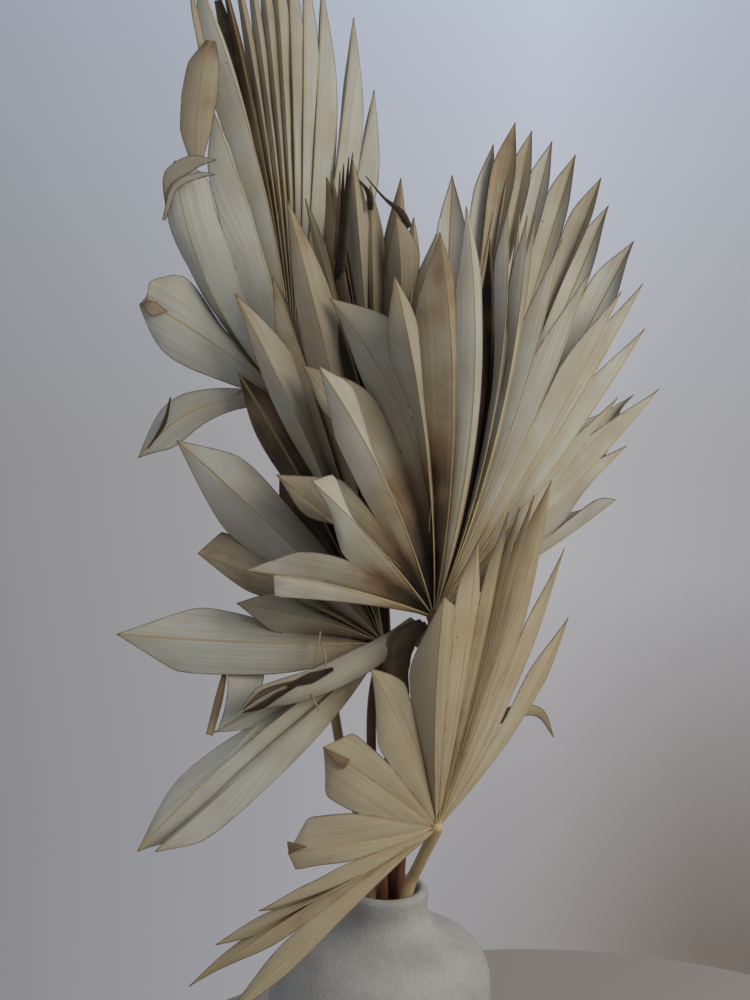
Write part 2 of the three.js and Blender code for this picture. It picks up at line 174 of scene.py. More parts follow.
def even_line(points: list[Vector], steps: int) -> list[Vector]:
    """Walks a line in steps of one length.

    Args:
        points: a fine line.
        steps: how many steps are made.

    Returns:
        steps + 1 points, both ends included.
    """
    reach = [0.0]
    for start, end in zip(points, points[1:]):
        reach.append(reach[-1] + (end - start).length)
    result = []
    span = 0
    for step in range(steps + 1):
        goal = reach[-1] * step / steps
        while span < len(points) - 2 and reach[span + 1] < goal:
            span += 1
        length = max(reach[span + 1] - reach[span], 1e-6)
        result.append(points[span].lerp(points[span + 1], (goal - reach[span]) / length))
    return result


@dataclass
class Surface:
    """A mesh in the making: points in mm, faces, and what the finish knows at each face's corners."""

    points: list[Vector] = field(default_factory=list)
    faces: list[tuple[int, ...]] = field(default_factory=list)
    corners: list[tuple[Corner, ...]] = field(default_factory=list)

    def point(self, place: Vector) -> int:
        """Adds a point and returns its number."""
        self.points.append(place)
        return len(self.points) - 1

    def face(self, indices: tuple[int, ...], corners: tuple[Corner, ...]) -> None:
        """Adds a face with its corners in the same order."""
        self.faces.append(indices)
        self.corners.append(corners)

    def thickened(self, thickness: float) -> "Surface":
        """Makes a closed sheet out of an open one.

        Args:
            thickness: between its two faces, in mm.

        Returns:
            The closed sheet.
        """
        normals = [Vector() for _ in self.points]
        for indices in self.faces:
            a, b, c, d = (self.points[i] for i in indices)
            normal = (c - a).cross(d - b)
            for i in indices:
                normals[i] += normal
        count = len(self.points)
        half = thickness / 2
        closed = Surface()
        closed.points = [p + n.normalized() * half for p, n in zip(self.points, normals)]
        closed.points += [p - n.normalized() * half for p, n in zip(self.points, normals)]
        edges = {}
        for indices, corners in zip(self.faces, self.corners):
            closed.face(indices, corners)
            closed.face(tuple(i + count for i in reversed(indices)), tuple(reversed(corners)))
            for k, (start, end) in enumerate(zip(indices, indices[1:] + indices[:1])):
                edges[start, end] = (corners[k], corners[(k + 1) % len(corners)])
        for (start, end), (near, far) in edges.items():
            if (end, start) not in edges:
                closed.face((end, start, start + count, end + count), (far, near, near, far))
        return closed

    def make(
        self, name: str, material: bpy.types.Material, slot: Slot, sharp: float = 32.0
    ) -> bpy.types.Object:
        """Makes the Blender object, in metres, and lets it ride on the part.

        Args:
            name: the piece's name.
            material: its finish.
            slot: the record's material slot that it belongs to. Not used.
            sharp: edges bent by more than this many degrees stay crisp.

        Returns:
            The object.
        """
        mesh = bpy.data.meshes.new(name)
        mesh.from_pydata([tuple(p * MM) for p in self.points], [], self.faces)
        flat = [corner for corners in self.corners for corner in corners]
        grain = mesh.uv_layers.new(name=GRAIN_MAP)
        grain.data.foreach_set("uv", [v for c in flat for v in (c.across * MM, c.along * MM)])
        wear = mesh.color_attributes.new(name=TONE_AND_SHADE_MAP, type="FLOAT_COLOR", domain="CORNER")
        wear.data.foreach_set("color", [v for c in flat for v in (c.tone, c.margin, c.valley, c.share)])
        mesh.polygons.foreach_set("use_smooth", [True] * len(self.faces))
        mesh.set_sharp_from_angle(angle=math.radians(sharp))
        mesh.materials.append(material)
        mesh.validate()
        made = bpy.data.objects.new(name, mesh)
        bpy.context.scene.collection.objects.link(made)
        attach(made, "root")
        LOG.info("%s: %d faces", name, len(mesh.polygons))
        return made


def add_tube(
    surface: Surface,
    line: list[Vector],
    size: Callable[[float, float], tuple[float, float]],
    sides: int,
    tone: float = 0.5,
    across: Vector = RIGHT,
) -> None:
    """Adds a closed rod with an oval section along a line.

    Args:
        surface: what it is added to.
        line: the points of its centre.
        size: gives the section's two half-widths at a share of the length and an angle.
        sides: faces around it.
        tone: how brown it is.
        across: the direction of the first half-width.
    """
    rings = []
    travelled = 0.0
    for k, centre in enumerate(line):
        along = (line[min(k + 1, len(line) - 1)] - line[max(k - 1, 0)]).normalized()
        wide = (across - along * across.dot(along)).normalized()
        deep = along.cross(wide)
        share = k / (len(line) - 1)
        ring = []
        for side in range(sides):
            angle = 2 * math.pi * side / sides
            half_wide, half_deep = size(share, angle)
            ring.append(surface.point(
                centre + wide * (half_wide * math.cos(angle)) + deep * (half_deep * math.sin(angle))
            ))
        rings.append((ring, travelled, share))
        if k < len(line) - 1:
            travelled += (line[k + 1] - centre).length
    for (ring, low, start), (above, high, end) in zip(rings, rings[1:]):
        girth = (surface.points[ring[1]] - surface.points[ring[0]]).length
        for side in range(sides):
            after = (side + 1) % sides
            places = [(side * girth, low, start), ((side + 1) * girth, low, start)]
            places += [((side + 1) * girth, high, end), (side * girth, high, end)]
            surface.face(
                (ring[side], ring[after], above[after], above[side]),
                tuple(Corner(a, b, tone, FAR, FAR, s) for a, b, s in places),
            )
    for (ring, reach, share), order in ((rings[0], -1), (rings[-1], 1)):
        corner = Corner(0.0, reach, tone, 0.0, FAR, share)
        surface.face(tuple(ring[::order]), (corner,) * sides)


def fluted(waves: tuple[tuple[int, float, float], ...], angle: float, along: float) -> float:
    """Reads the flutes around a section.

    Args:
        waves: how many there are around it, how far they twist along it and how high they stand.
        angle: around it.
        along: how far along it.

    Returns:
        The factor for its size.
    """
    return 1 + sum(height * math.sin(count * angle + twist * along) for count, twist, height in waves)


@dataclass(frozen=True)
class Segment:
    """One pleated segment of a leaf, with the tip given right, up and toward from the hub.

    half is the flat width of the left and right half-blade. roll turns the segment about its length, fold is
    how far each half drops from flat, bow and sway bend the midrib toward the front and clockwise, and
    joined is how far the web to the next segment runs before it splits. cut is where the two shoulders of
    the scissor cut stand and crisp how sharp their corners are, curl bends the tip to the front from
    curl_from on, crown is how much each half bulges, and dark is how much painted shade darkens it toward
    the hub (a negative value takes some of the leaf's painted shade off).
    """

    right: float
    up: float
    toward: float
    half: tuple[float, float]
    roll: float
    fold: float
    bow: float = 0.0
    sway: float = 0.0
    joined: float | None = None
    cut: tuple[float, float] = (0.74, 0.74)
    crisp: float = 5.0
    tone: Tone = Tone.PALE
    curl: float = 0.0
    curl_from: float = 0.5
    crown: float = 0.05
    # Painted shade toward the hub.
    dark: float = 0.0

    @property
    def length(self) -> float:
        """The straight distance from the hub to the tip."""
        return math.hypot(self.right, self.up, self.toward)


@dataclass(frozen=True)
class Strip:
    """A curled, rolled or torn piece of a leaf.

    path runs from the hub's side out, right, up and toward from the hub. widths are the full widths along
    it, face turns it about its own length at both ends, and cup is how far it is rolled up across, all three
    angles in degrees. ribbed says that a midrib runs along its middle.
    """

    path: tuple[Place, ...]
    widths: tuple[float, ...]
    face: tuple[float, float] = (0.0, 0.0)
    cup: float = 40.0
    tone: Tone = Tone.TAN
    ribbed: bool = False


@dataclass(frozen=True)
class Stem:
    """A leaf stalk: its flattened section and the path of its centre in the part's frame."""

    width: float
    depth: float
    path: tuple[Place, ...]
    tone: Tone


class Rib:
    """A segment's midrib as a fine line, with the segment's own axes along it."""

    STEPS = 56

    def __init__(self, hub: Vector, seg: Segment) -> None:
        """Lays the midrib out.

        Args:
            hub: where the leaf's segments meet, in mm.
            seg: the segment.
        """
        tip = layout(seg.right, seg.up, seg.toward)
        forward = tip.normalized()
        side = forward.cross(TOWARD).normalized()
        front = side.cross(forward)
        straight = []
        for k in range(self.STEPS + 1):
            t = k / self.STEPS
            bend = 4 * t * (1 - t)
            straight.append(hub + tip * t + front * (seg.bow * bend) + side * (seg.sway * bend))
        self.points = [straight[0]]
        turns = [Quaternion(side, 0.0)]
        for k, (start, end) in enumerate(zip(straight, straight[1:])):
            share = (k + 0.5) / self.STEPS
            turn = Quaternion(side, math.radians(seg.curl) * smoothstep(seg.curl_from, 1.0, share))
            turns.append(turn)
            self.points.append(self.points[-1] + turn @ (end - start))
        self.axes = []
        for k in range(self.STEPS + 1):
            before = self.points[max(k - 1, 0)]
            after = self.points[min(k + 1, self.STEPS)]
            along = (after - before).normalized()
            flat = along.cross(turns[k] @ TOWARD).normalized()
            ahead = flat.cross(along)
            roll = math.radians(seg.roll)
            across = flat * math.cos(roll) + ahead * math.sin(roll)
            self.axes.append((along, across, across.cross(along).normalized()))

    def at(self, t: float) -> tuple[Vector, Vector, Vector, Vector]:
        """Reads the midrib at a share of its length.

        Args:
            t: 0 at the hub, 1 at the tip.

        Returns:
            The point and the directions along, across and out of the ridge.
        """
        place = min(max(t, 0.0), 1.0) * self.STEPS
        k = min(int(place), self.STEPS - 1)
        point = self.points[k].lerp(self.points[k + 1], place - k)
        mixed = (a.lerp(b, place - k).normalized() for a, b in zip(self.axes[k], self.axes[k + 1]))
        return point, *mixed


class Edge(NamedTuple):
    """One station of a half-blade's edge: the point, its share of the length and the half-width there."""

    point: Vector
    t: float
    width: float


class Station(NamedTuple):
    """One point of a segment: number, share of the length, and distance from midrib and edge in mm."""

    number: int
    t: float
    across: float
    inset: float


@dataclass(frozen=True)
class PalmLeaf:
    """One dried palm leaf: a fan of pleated segments that spread from the end of a stalk.

    hub is where the segments meet and root the knot's radius there. joined is the share of a segment's
    length over which the web holds it to the next one, and swell how early it reaches its full width. sticks
    are broken twigs, fibres the number of loose threads, wave the height of the blade's ripples, and dark
    how much painted shade darkens the blade toward the hub.
    """

    name: str
    hub: Place
    root: float
    joined: float
    swell: float
    blade_slot: Slot
    stalk_slot: Slot
    stem: Stem
    segments: tuple[Segment, ...]
    strips: tuple[Strip, ...] = ()
    sticks: tuple[tuple[Place, ...], ...] = ()
    seed: int = 1
    fibres: int = 12
    thickness: float = 0.45
    rib_radius: float = 0.5
    wave: float = 0.9
    # Painted shade toward the hub, for the whole leaf.
    dark: float = 0.0

    JOINED_STEPS = 20
    FREE_STEPS = 12
    CUT_STEPS = 12
    COLUMNS = 5
    STRIP_COLUMNS = 8
    STRIP_STEPS = 8
    RIB_STEPS = 30
    ROOT_HALF_WIDTH = 1.9
    TIP_HALF_WIDTH = 0.25
    DARK_REACH = 0.72
    RIPPLE_MM = 46.0
    RIPPLED_WIDTH_MM = 14.0
    FOLD_ROOM = 0.12
    STALK_STEPS = 90
    STALK_FLUTES = ((9, 3, 0.035), (23, 0, 0.02))
    STALK_SLIMMER = 0.08
    KNOT_STEPS = 16
    KNOT_WRINKLES = ((13, 4, 0.06), (29, 0, 0.04))
    KNOT_FLATNESS = 0.8
    THREAD_STEPS = 8
    THREAD_STARTS = (0.15, 0.6)
    THREAD_LENGTH_MM = (18, 55)
    THREAD_SAG_MM = (3, 7)
    THREAD_RADIUS_MM = 0.16

    @property
    def centre(self) -> Vector:
        """The hub as a vector."""
        return Vector(self.hub)

    def half_width(self, seg: Segment, side: Side, t: float) -> float:
        """The flat width of a half-blade.

        Args:
            seg: the segment.
            side: which half.
            t: the share of the segment's length.

        Returns:
            The width in mm: it widens to the shoulder, then the cut runs to the tip.
        """
        which = int(side is Side.RIGHT)
        shoulder = seg.cut[which]
        grown = 1.0 if t >= shoulder else max(1e-3, 1 - (1 - t / shoulder) ** self.swell)
        cut = max(1e-3, (1 - t) / (1 - shoulder))
        share = (grown**-seg.crisp + cut**-seg.crisp) ** (-1 / seg.crisp)
        least = self.ROOT_HALF_WIDTH if t < shoulder else self.TIP_HALF_WIDTH
        return max(least, seg.half[which] * share)

    def valley(self, ribs: list[Rib], segments: tuple[Segment, ...], left: int, distance: float) -> Vector:
        """The fold that a segment shares with the next one on its right.

        Args:
            ribs: all midribs.
            segments: all segments.
            left: the left segment's number.
            distance: from the hub, in mm.

        Returns:
            The point, one half-blade's width from each of the two midribs.
        """
        reach_left = distance / segments[left].length
        reach_right = distance / segments[left + 1].length
        rib_left, _, _, out_left = ribs[left].at(reach_left)
        rib_right, _, _, out_right = ribs[left + 1].at(reach_right)
        near = self.half_width(segments[left], Side.RIGHT, reach_left)
        far = self.half_width(segments[left + 1], Side.LEFT, reach_right)
        apart = max(1e-3, (rib_left - rib_right).length)
        along = (apart * apart + near * near - far * far) / (2 * apart)
        along = min((1 - self.FOLD_ROOM) * apart, max(self.FOLD_ROOM * apart, along))
        depth = math.sqrt(max(0.0, near * near - along * along))
        return rib_left.lerp(rib_right, along / apart) - (out_left + out_right).normalized() * depth

    def edge_line(
        self, ribs: list[Rib], segments: tuple[Segment, ...], index: int, side: Side
    ) -> list[Edge]:
        """The edge of one half-blade from hub to tip.

        Args:
            ribs: all midribs.
            segments: all segments.
            index: the segment's number.
            side: which half.

        Returns:
            The stations: as far as the web to the neighbour runs, on to the shoulder, and on to the tip.
        """
        seg = segments[index]
        rib = ribs[index]
        neighbour = index + side.value
        held = 0 <= neighbour < len(segments)
        left = index if side is Side.RIGHT else neighbour
        shorter = min(seg.length, segments[neighbour].length) if held else seg.length
        share = segments[left].joined if held and segments[left].joined is not None else self.joined
        start = self.root / seg.length
        shoulder = seg.cut[side is Side.RIGHT]
        split = min(share * shorter / seg.length, shoulder - 0.03)
        fold = math.radians(seg.fold)
        line = []
        for k in range(self.JOINED_STEPS + 1):
            t = start + (split - start) * k / self.JOINED_STEPS
            width = self.half_width(seg, side, t)
            if held:
                line.append(Edge(self.valley(ribs, segments, left, t * seg.length), t, width))
            else:
                point, _, across, out = rib.at(t)
                place = point + across * (side.value * width * math.cos(fold))
                line.append(Edge(place - out * (width * math.sin(fold)), t, width))
        point, along, across, out = rib.at(split)
        chord = line[-1].point - point
        opened = math.atan2(-chord.dot(out), side.value * chord.dot(across))
        stretch = math.hypot(chord.dot(out), chord.dot(across)) / line[-1].width
        slip = chord.dot(along)
        ends = [split + (shoulder - split) * k / self.FREE_STEPS for k in range(1, self.FREE_STEPS + 1)]
        ends += [shoulder + (1 - shoulder) * k / self.CUT_STEPS for k in range(1, self.CUT_STEPS + 1)]
        for t in ends:
            point, along, across, out = rib.at(t)
            width = self.half_width(seg, side, t)
            eased = smoothstep(split, 1.0, t)
            angle = opened + (fold - opened) * eased
            reach = width * (stretch + (1 - stretch) * smoothstep(split, split + 0.3, t))
            place = point + across * (side.value * reach * math.cos(angle)) - out * (reach * math.sin(angle))
            line.append(Edge(place + along * (slip * (1 - smoothstep(split, split + 0.2, t))), t, width))
        return line

    def add_rows(
        self,
        surface: Surface,
        seg: Segment,
        rib: Rib,
        lines: dict[Side, list[Edge]],
        shared: dict[Side, dict[int, int] | None],
        phase: Vector,
    ) -> list[dict[int, Station]]:
        """Lays one segment's points out, row by row from the hub to the tip.

        Args:
            surface: what they are added to.
            seg: the segment.
            rib: its midrib.
            lines: the edges of its two half-blades.
            shared: the points of the fold with each neighbour by row, or None where there is no neighbour.
                The left neighbour's are used again, and the right one's are filled in.
            phase: where the ripples' noise starts.

        Returns:
            The rows, with the stations by column: 0 on the midrib and the edges at both ends.
        """
        rows = []
        for k, pair in enumerate(zip(lines[Side.LEFT], lines[Side.RIGHT])):
            middle = (pair[0].t + pair[1].t) / 2
            ridge, along, _, out = rib.at(middle)
            row = {0: Station(surface.point(ridge), middle, 0.0, 0.0)}
            free = smoothstep(self.JOINED_STEPS, self.JOINED_STEPS + self.FREE_STEPS, k)
            for side, edge in zip(Side, pair):
                chord = edge.point - ridge
                reach = chord.length
                normal = chord.cross(along).normalized() * side.value
                if normal.dot(out) < 0:
                    normal = -normal
                for column in range(1, self.COLUMNS + 1):
                    q = column / self.COLUMNS
                    t = middle + (edge.t - middle) * q
                    inner = 4 * q * (1 - q)
                    spot = Vector((t * seg.length / self.RIPPLE_MM, side.value * q * 0.9, 0))
                    ripple = noise.noise(spot + phase) * min(1.0, reach / self.RIPPLED_WIDTH_MM)
                    lift = seg.crown * reach * inner + self.wave * ripple * (inner + q * q * free)
                    fold = shared[side] if column == self.COLUMNS and k <= self.JOINED_STEPS else None
                    if fold is None:
                        number = surface.point(ridge.lerp(edge.point, q) + normal * lift)
                    elif side is Side.LEFT:
                        number = fold[k]
                    else:
                        number = fold[k] = surface.point(edge.point)
                    row[side.value * column] = Station(number, t, side.value * q * reach, (1 - q) * reach)
            rows.append(row)
        return rows

    def add_segments(self, surface: Surface) -> None:
        """Adds the half-blades of all segments, which share their valleys where they are joined.

        Args:
            surface: what they are added to.
        """
        ribs = [Rib(self.centre, seg) for seg in self.segments]
        rng = random.Random(self.seed)
        last = len(self.segments) - 1
        fold: dict[int, int] = {}
        for index, (seg, rib) in enumerate(zip(self.segments, ribs)):
            lines = {side: self.edge_line(ribs, self.segments, index, side) for side in Side}
            tone = seg.tone.value + rng.uniform(-0.06, 0.06)
            offset = rng.uniform(0.0, 500.0)
            phase = Vector((rng.uniform(0, 99), rng.uniform(0, 99), rng.uniform(0, 99)))
            shared = {Side.LEFT: fold if index > 0 else None, Side.RIGHT: {} if index < last else None}
            rows = self.add_rows(surface, seg, rib, lines, shared, phase)
            fold = shared[Side.RIGHT]
            # Painted shade: each segment darkens toward the hub by the leaf's and its own dark.
            hub_shade = self.dark + seg.dark
            for k, (row, above) in enumerate(zip(rows, rows[1:])):
                for column in range(-self.COLUMNS, self.COLUMNS):
                    held = shared[Side.LEFT if column < 0 else Side.RIGHT] is not None
                    quad = (row[column], row[column + 1], above[column + 1], above[column])
                    corners = []
                    for _, t, across, inset in quad:
                        margin, valley = (FAR, inset) if held and k < self.JOINED_STEPS else (inset, FAR)
                        shaded_tone = tone + hub_shade * (1 - smoothstep(0.0, self.DARK_REACH, t))
                        corners.append(Corner(across, t * seg.length + offset, shaded_tone, margin, valley, t))
                    surface.face(tuple(station.number for station in quad), tuple(corners))

    def add_strip(self, surface: Surface, strip: Strip) -> None:
        """Adds a curled strip.

        Args:
            surface: what it is added to.
            strip: its path, widths and curl.
        """
        columns = self.STRIP_COLUMNS
        line = smooth_line([self.centre + layout(*place) for place in strip.path], self.STRIP_STEPS)
        grid = []
        travelled = 0.0
        for k, centre in enumerate(line):
            along = (line[min(k + 1, len(line) - 1)] - line[max(k - 1, 0)]).normalized()
            share = k / (len(line) - 1)
            flat = along.cross(TOWARD)
            flat = flat.normalized() if flat.length > 0.05 else RIGHT
            turn = Quaternion(along, math.radians(strip.face[0] + (strip.face[1] - strip.face[0]) * share))
            wide = turn @ flat
            out = wide.cross(along).normalized()
            place = share * (len(strip.widths) - 1)
            low = min(int(place), len(strip.widths) - 2)
            width = strip.widths[low] + (strip.widths[low + 1] - strip.widths[low]) * (place - low)
            arc = math.radians(strip.cup) or 0.01
            radius = width / arc
            row = []
            for column in range(columns + 1):
                q = column / columns - 0.5
                angle = arc * q
                drop = radius * (1 - math.cos(angle))
                number = surface.point(centre + wide * (radius * math.sin(angle)) - out * drop)
                row.append((number, q * width, travelled, (0.5 - abs(q)) * width, share))
            grid.append(row)
            if k < len(line) - 1:
                travelled += (line[k + 1] - centre).length
        for row, above in zip(grid, grid[1:]):
            for column in range(columns):
                quad = (row[column], row[column + 1], above[column + 1], above[column])
                shift = 0.0 if strip.ribbed else FAR
                corners = tuple(
                    Corner(across + shift, along, strip.tone.value, margin, FAR, 0.1 + share * 0.7)
                    for _, across, along, margin, share in quad
                )
                surface.face(tuple(item[0] for item in quad), corners)

    def blade(self) -> Surface:
        """Makes the pleated blade with its curled and torn strips.

        Returns:
            The closed sheet.
        """
        sheet = Surface()
        self.add_segments(sheet)
        for strip in self.strips:
            self.add_strip(sheet, strip)
        return sheet.thickened(self.thickness)

    def midribs(self) -> Surface:
        """Makes the thin cords that stand on the ridges.

        Returns:
            The cords.
        """
        surface = Surface()
        rng = random.Random(self.seed + 50)
        for seg in self.segments:
            rib = Rib(self.centre, seg)
            start = self.root / seg.length
            line = []
            for k in range(self.RIB_STEPS + 1):
                point, _, _, out = rib.at(start + (0.985 - start) * k / self.RIB_STEPS)
                line.append(point + out * (self.thickness * 0.35))
            tone = seg.tone.value + rng.uniform(-0.15, 0.15)
            radius = self.rib_radius
            add_tube(surface, line, lambda share, _: (radius * (1.1 - 0.7 * share),) * 2, 6, tone)
        return surface

    def stalk(self) -> Surface:
        """Makes the stalk, which ends in the knot that carries the pleats.

        Returns:
            The stalk and its knot.
        """
        surface = Surface()
        phase = random.Random(self.seed + 90).uniform(0, 20)
        places = [Vector(place) for place in self.stem.path]
        line = even_line(smooth_line([*places, self.centre], 12), self.STALK_STEPS)

        def section(share: float, angle: float) -> tuple[float, float]:
            """The stalk's section: fluted, a little uneven and slimmer toward the leaf.

            Args:
                share: of the stalk's length.
                angle: around it.

            Returns:
                The two half-widths.
            """
            uneven = 1 + 0.05 * noise.noise(Vector((share * 9, math.cos(angle), phase)))
            size = fluted(self.STALK_FLUTES, angle, share) * uneven * (1 - self.STALK_SLIMMER * share) / 2
            return self.stem.width * size, self.stem.depth * size

        add_tube(surface, line, section, 26, self.stem.tone.value)
        radius = self.root * 1.02
        heights = [math.sin(math.pi * (k / self.KNOT_STEPS - 0.5)) for k in range(self.KNOT_STEPS + 1)]

        def swelling(share: float, angle: float) -> tuple[float, float]:
            """The knot's section: a flattened ball, wrinkled where the pleats leave it.

            Args:
                share: of the knot's height.
                angle: around it.

            Returns:
                The two half-widths.
            """
            height = heights[round(share * self.KNOT_STEPS)]
            bulge = radius * max(0.05, math.sqrt(max(0.0, 1 - height * height)))
            bulge *= fluted(self.KNOT_WRINKLES, angle, height)
            return bulge, bulge * self.KNOT_FLATNESS

        knot = [self.centre + UP * (radius * height) for height in heights]
        add_tube(surface, knot, swelling, 48, self.stem.tone.value)
        return surface

    def loose_fibres(self) -> Surface:
        """Makes the fine threads that hang from the splits, and broken sticks.

        Returns:
            The threads and sticks.
        """
        surface = Surface()
        rng = random.Random(self.seed + 7)
        for _ in range(self.fibres):
            seg = rng.choice(self.segments)
            rib = Rib(self.centre, seg)
            share = rng.uniform(*self.THREAD_STARTS)
            point, along, across, out = rib.at(share)
            length = rng.uniform(*self.THREAD_LENGTH_MM)
            lean = across * rng.uniform(-0.5, 0.5) + out * rng.uniform(0.02, 0.25)
            start = point + across * (rng.choice((-1, 1)) * seg.half[0] * share * 0.5) + out * 0.3
            line = []
            for k in range(self.THREAD_STEPS + 1):
                t = k / self.THREAD_STEPS
                sag = Vector((0, 0, -1)) * (rng.uniform(*self.THREAD_SAG_MM) * t * t)
                line.append(start + (along + lean * t) * (length * t) + sag)
            tone = rng.uniform(0.2, 0.7)
            radius = self.THREAD_RADIUS_MM
            add_tube(surface, line, lambda share, _: (radius * (1 - 0.6 * share),) * 2, 4, tone)
        for stick in self.sticks:
            line = smooth_line([self.centre + layout(*place) for place in stick], 6)
            add_tube(surface, line, lambda share, _: (0.9 - 0.35 * share, 0.6 - 0.2 * share), 8, 0.75)
        return surface

    def build(self, skins: dict[Slot, bpy.types.Material], cord: bpy.types.Material) -> None:
        """Makes the leaf's four objects and dresses them.

        Args:
            skins: the finish of each material slot.
            cord: the finish of the midribs and loose fibres.
        """
        blade = self.blade().make(f"{self.name}_pleated_blade", skins[self.blade_slot], self.blade_slot)
        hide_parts(f"{self.name}_blade")
        stalk = self.stalk().make(f"{self.name}_stalk", skins[self.stalk_slot], self.stalk_slot, sharp=60)
        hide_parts(f"{self.name}_stem")
        self.midribs().make(f"{self.name}_midribs", cord, self.blade_slot, sharp=70)
        self.loose_fibres().make(f"{self.name}_fibres", cord, self.blade_slot, sharp=70)


def add_node(
    tree: bpy.types.NodeTree,
    kind: str,
    sockets: dict[int | str, object] | None = None,
    output: int | str = 0,
    **settings: object,
) -> Socket | None:
    """Adds a node with its settings and links.

    A Map Range node's inputs 0 to 4 are the value, its range and the new range. A Mix node's inputs 0, 6
    and 7 are the factor and the two colours, and its output 2 is the colour.

    Args:
        tree: what it is added to.
        kind: the node's type, without "ShaderNode" in front.
        sockets: input name or number to a value, or to the output socket that feeds it.
        output: which output is given back.
        **settings: the node's own properties.

    Returns:
        The output socket, or None for a node that has none.
    """
    node = tree.nodes.new(f"ShaderNode{kind}")
    for name, value in settings.items():
        setattr(node, name, value)
    for key, value in (sockets or {}).items():
        if isinstance(value, Socket):
            tree.links.new(value, node.inputs[key])
        else:
            node.inputs[key].default_value = value
    return node.outputs[output] if node.outputs else None


def emptied(owner: bpy.types.Material | bpy.types.World) -> AddNode:
    """Empties the node tree of a finish or of the surroundings.

    Args:
        owner: whose tree it is.

    Returns:
        The function that adds a node to it.
    """
    owner.use_nodes = True
    owner.node_tree.nodes.clear()
    return partial(add_node, owner.node_tree)


def linear(colour: str) -> Colour:
    """Turns an sRGB hex colour into linear light.

    Args:
        colour: such as "#a0b0c0".

    Returns:
        Red, green, blue and an alpha of 1.
    """
    channels = [int(colour[i:i + 2], 16) / 255 for i in (1, 3, 5)]
    curved = [c / 12.92 if c <= 0.04045 else ((c + 0.055) / 1.055) ** 2.4 for c in channels]
    return (*curved, 1.0)


@dataclass(frozen=True)
class Specks:
    """Small dark specks, one to a cell and only in the rarer cells; radius is a share of the cell."""

    colour: str
    cell_mm: float
    rarest: float
    radius: float
    cover: float

    def over(self, add: AddNode, place: Socket, colour: Socket) -> Socket:
        """Lays the specks over a colour.

        Args:
            add: adds a node.
            place: the coordinates.
            colour: what they lie on.

        Returns:
            The speckled colour.
        """
        cells = add("TexVoronoi", {"Vector": place, "Scale": 1000 / self.cell_mm}, "Distance")
        odds = add("SeparateColor", {0: cells.node.outputs["Color"]})
        size = add("MapRange", {0: odds, 1: self.rarest, 2: 1.0, 3: 0.0, 4: self.radius})
        speck = add("Math", {0: cells, 1: size}, operation="LESS_THAN")
        speck = add("Math", {0: speck, 1: self.cover}, operation="MULTIPLY")
        return add("Mix", {0: speck, 6: colour, 7: linear(self.colour)}, 2, data_type="RGBA")


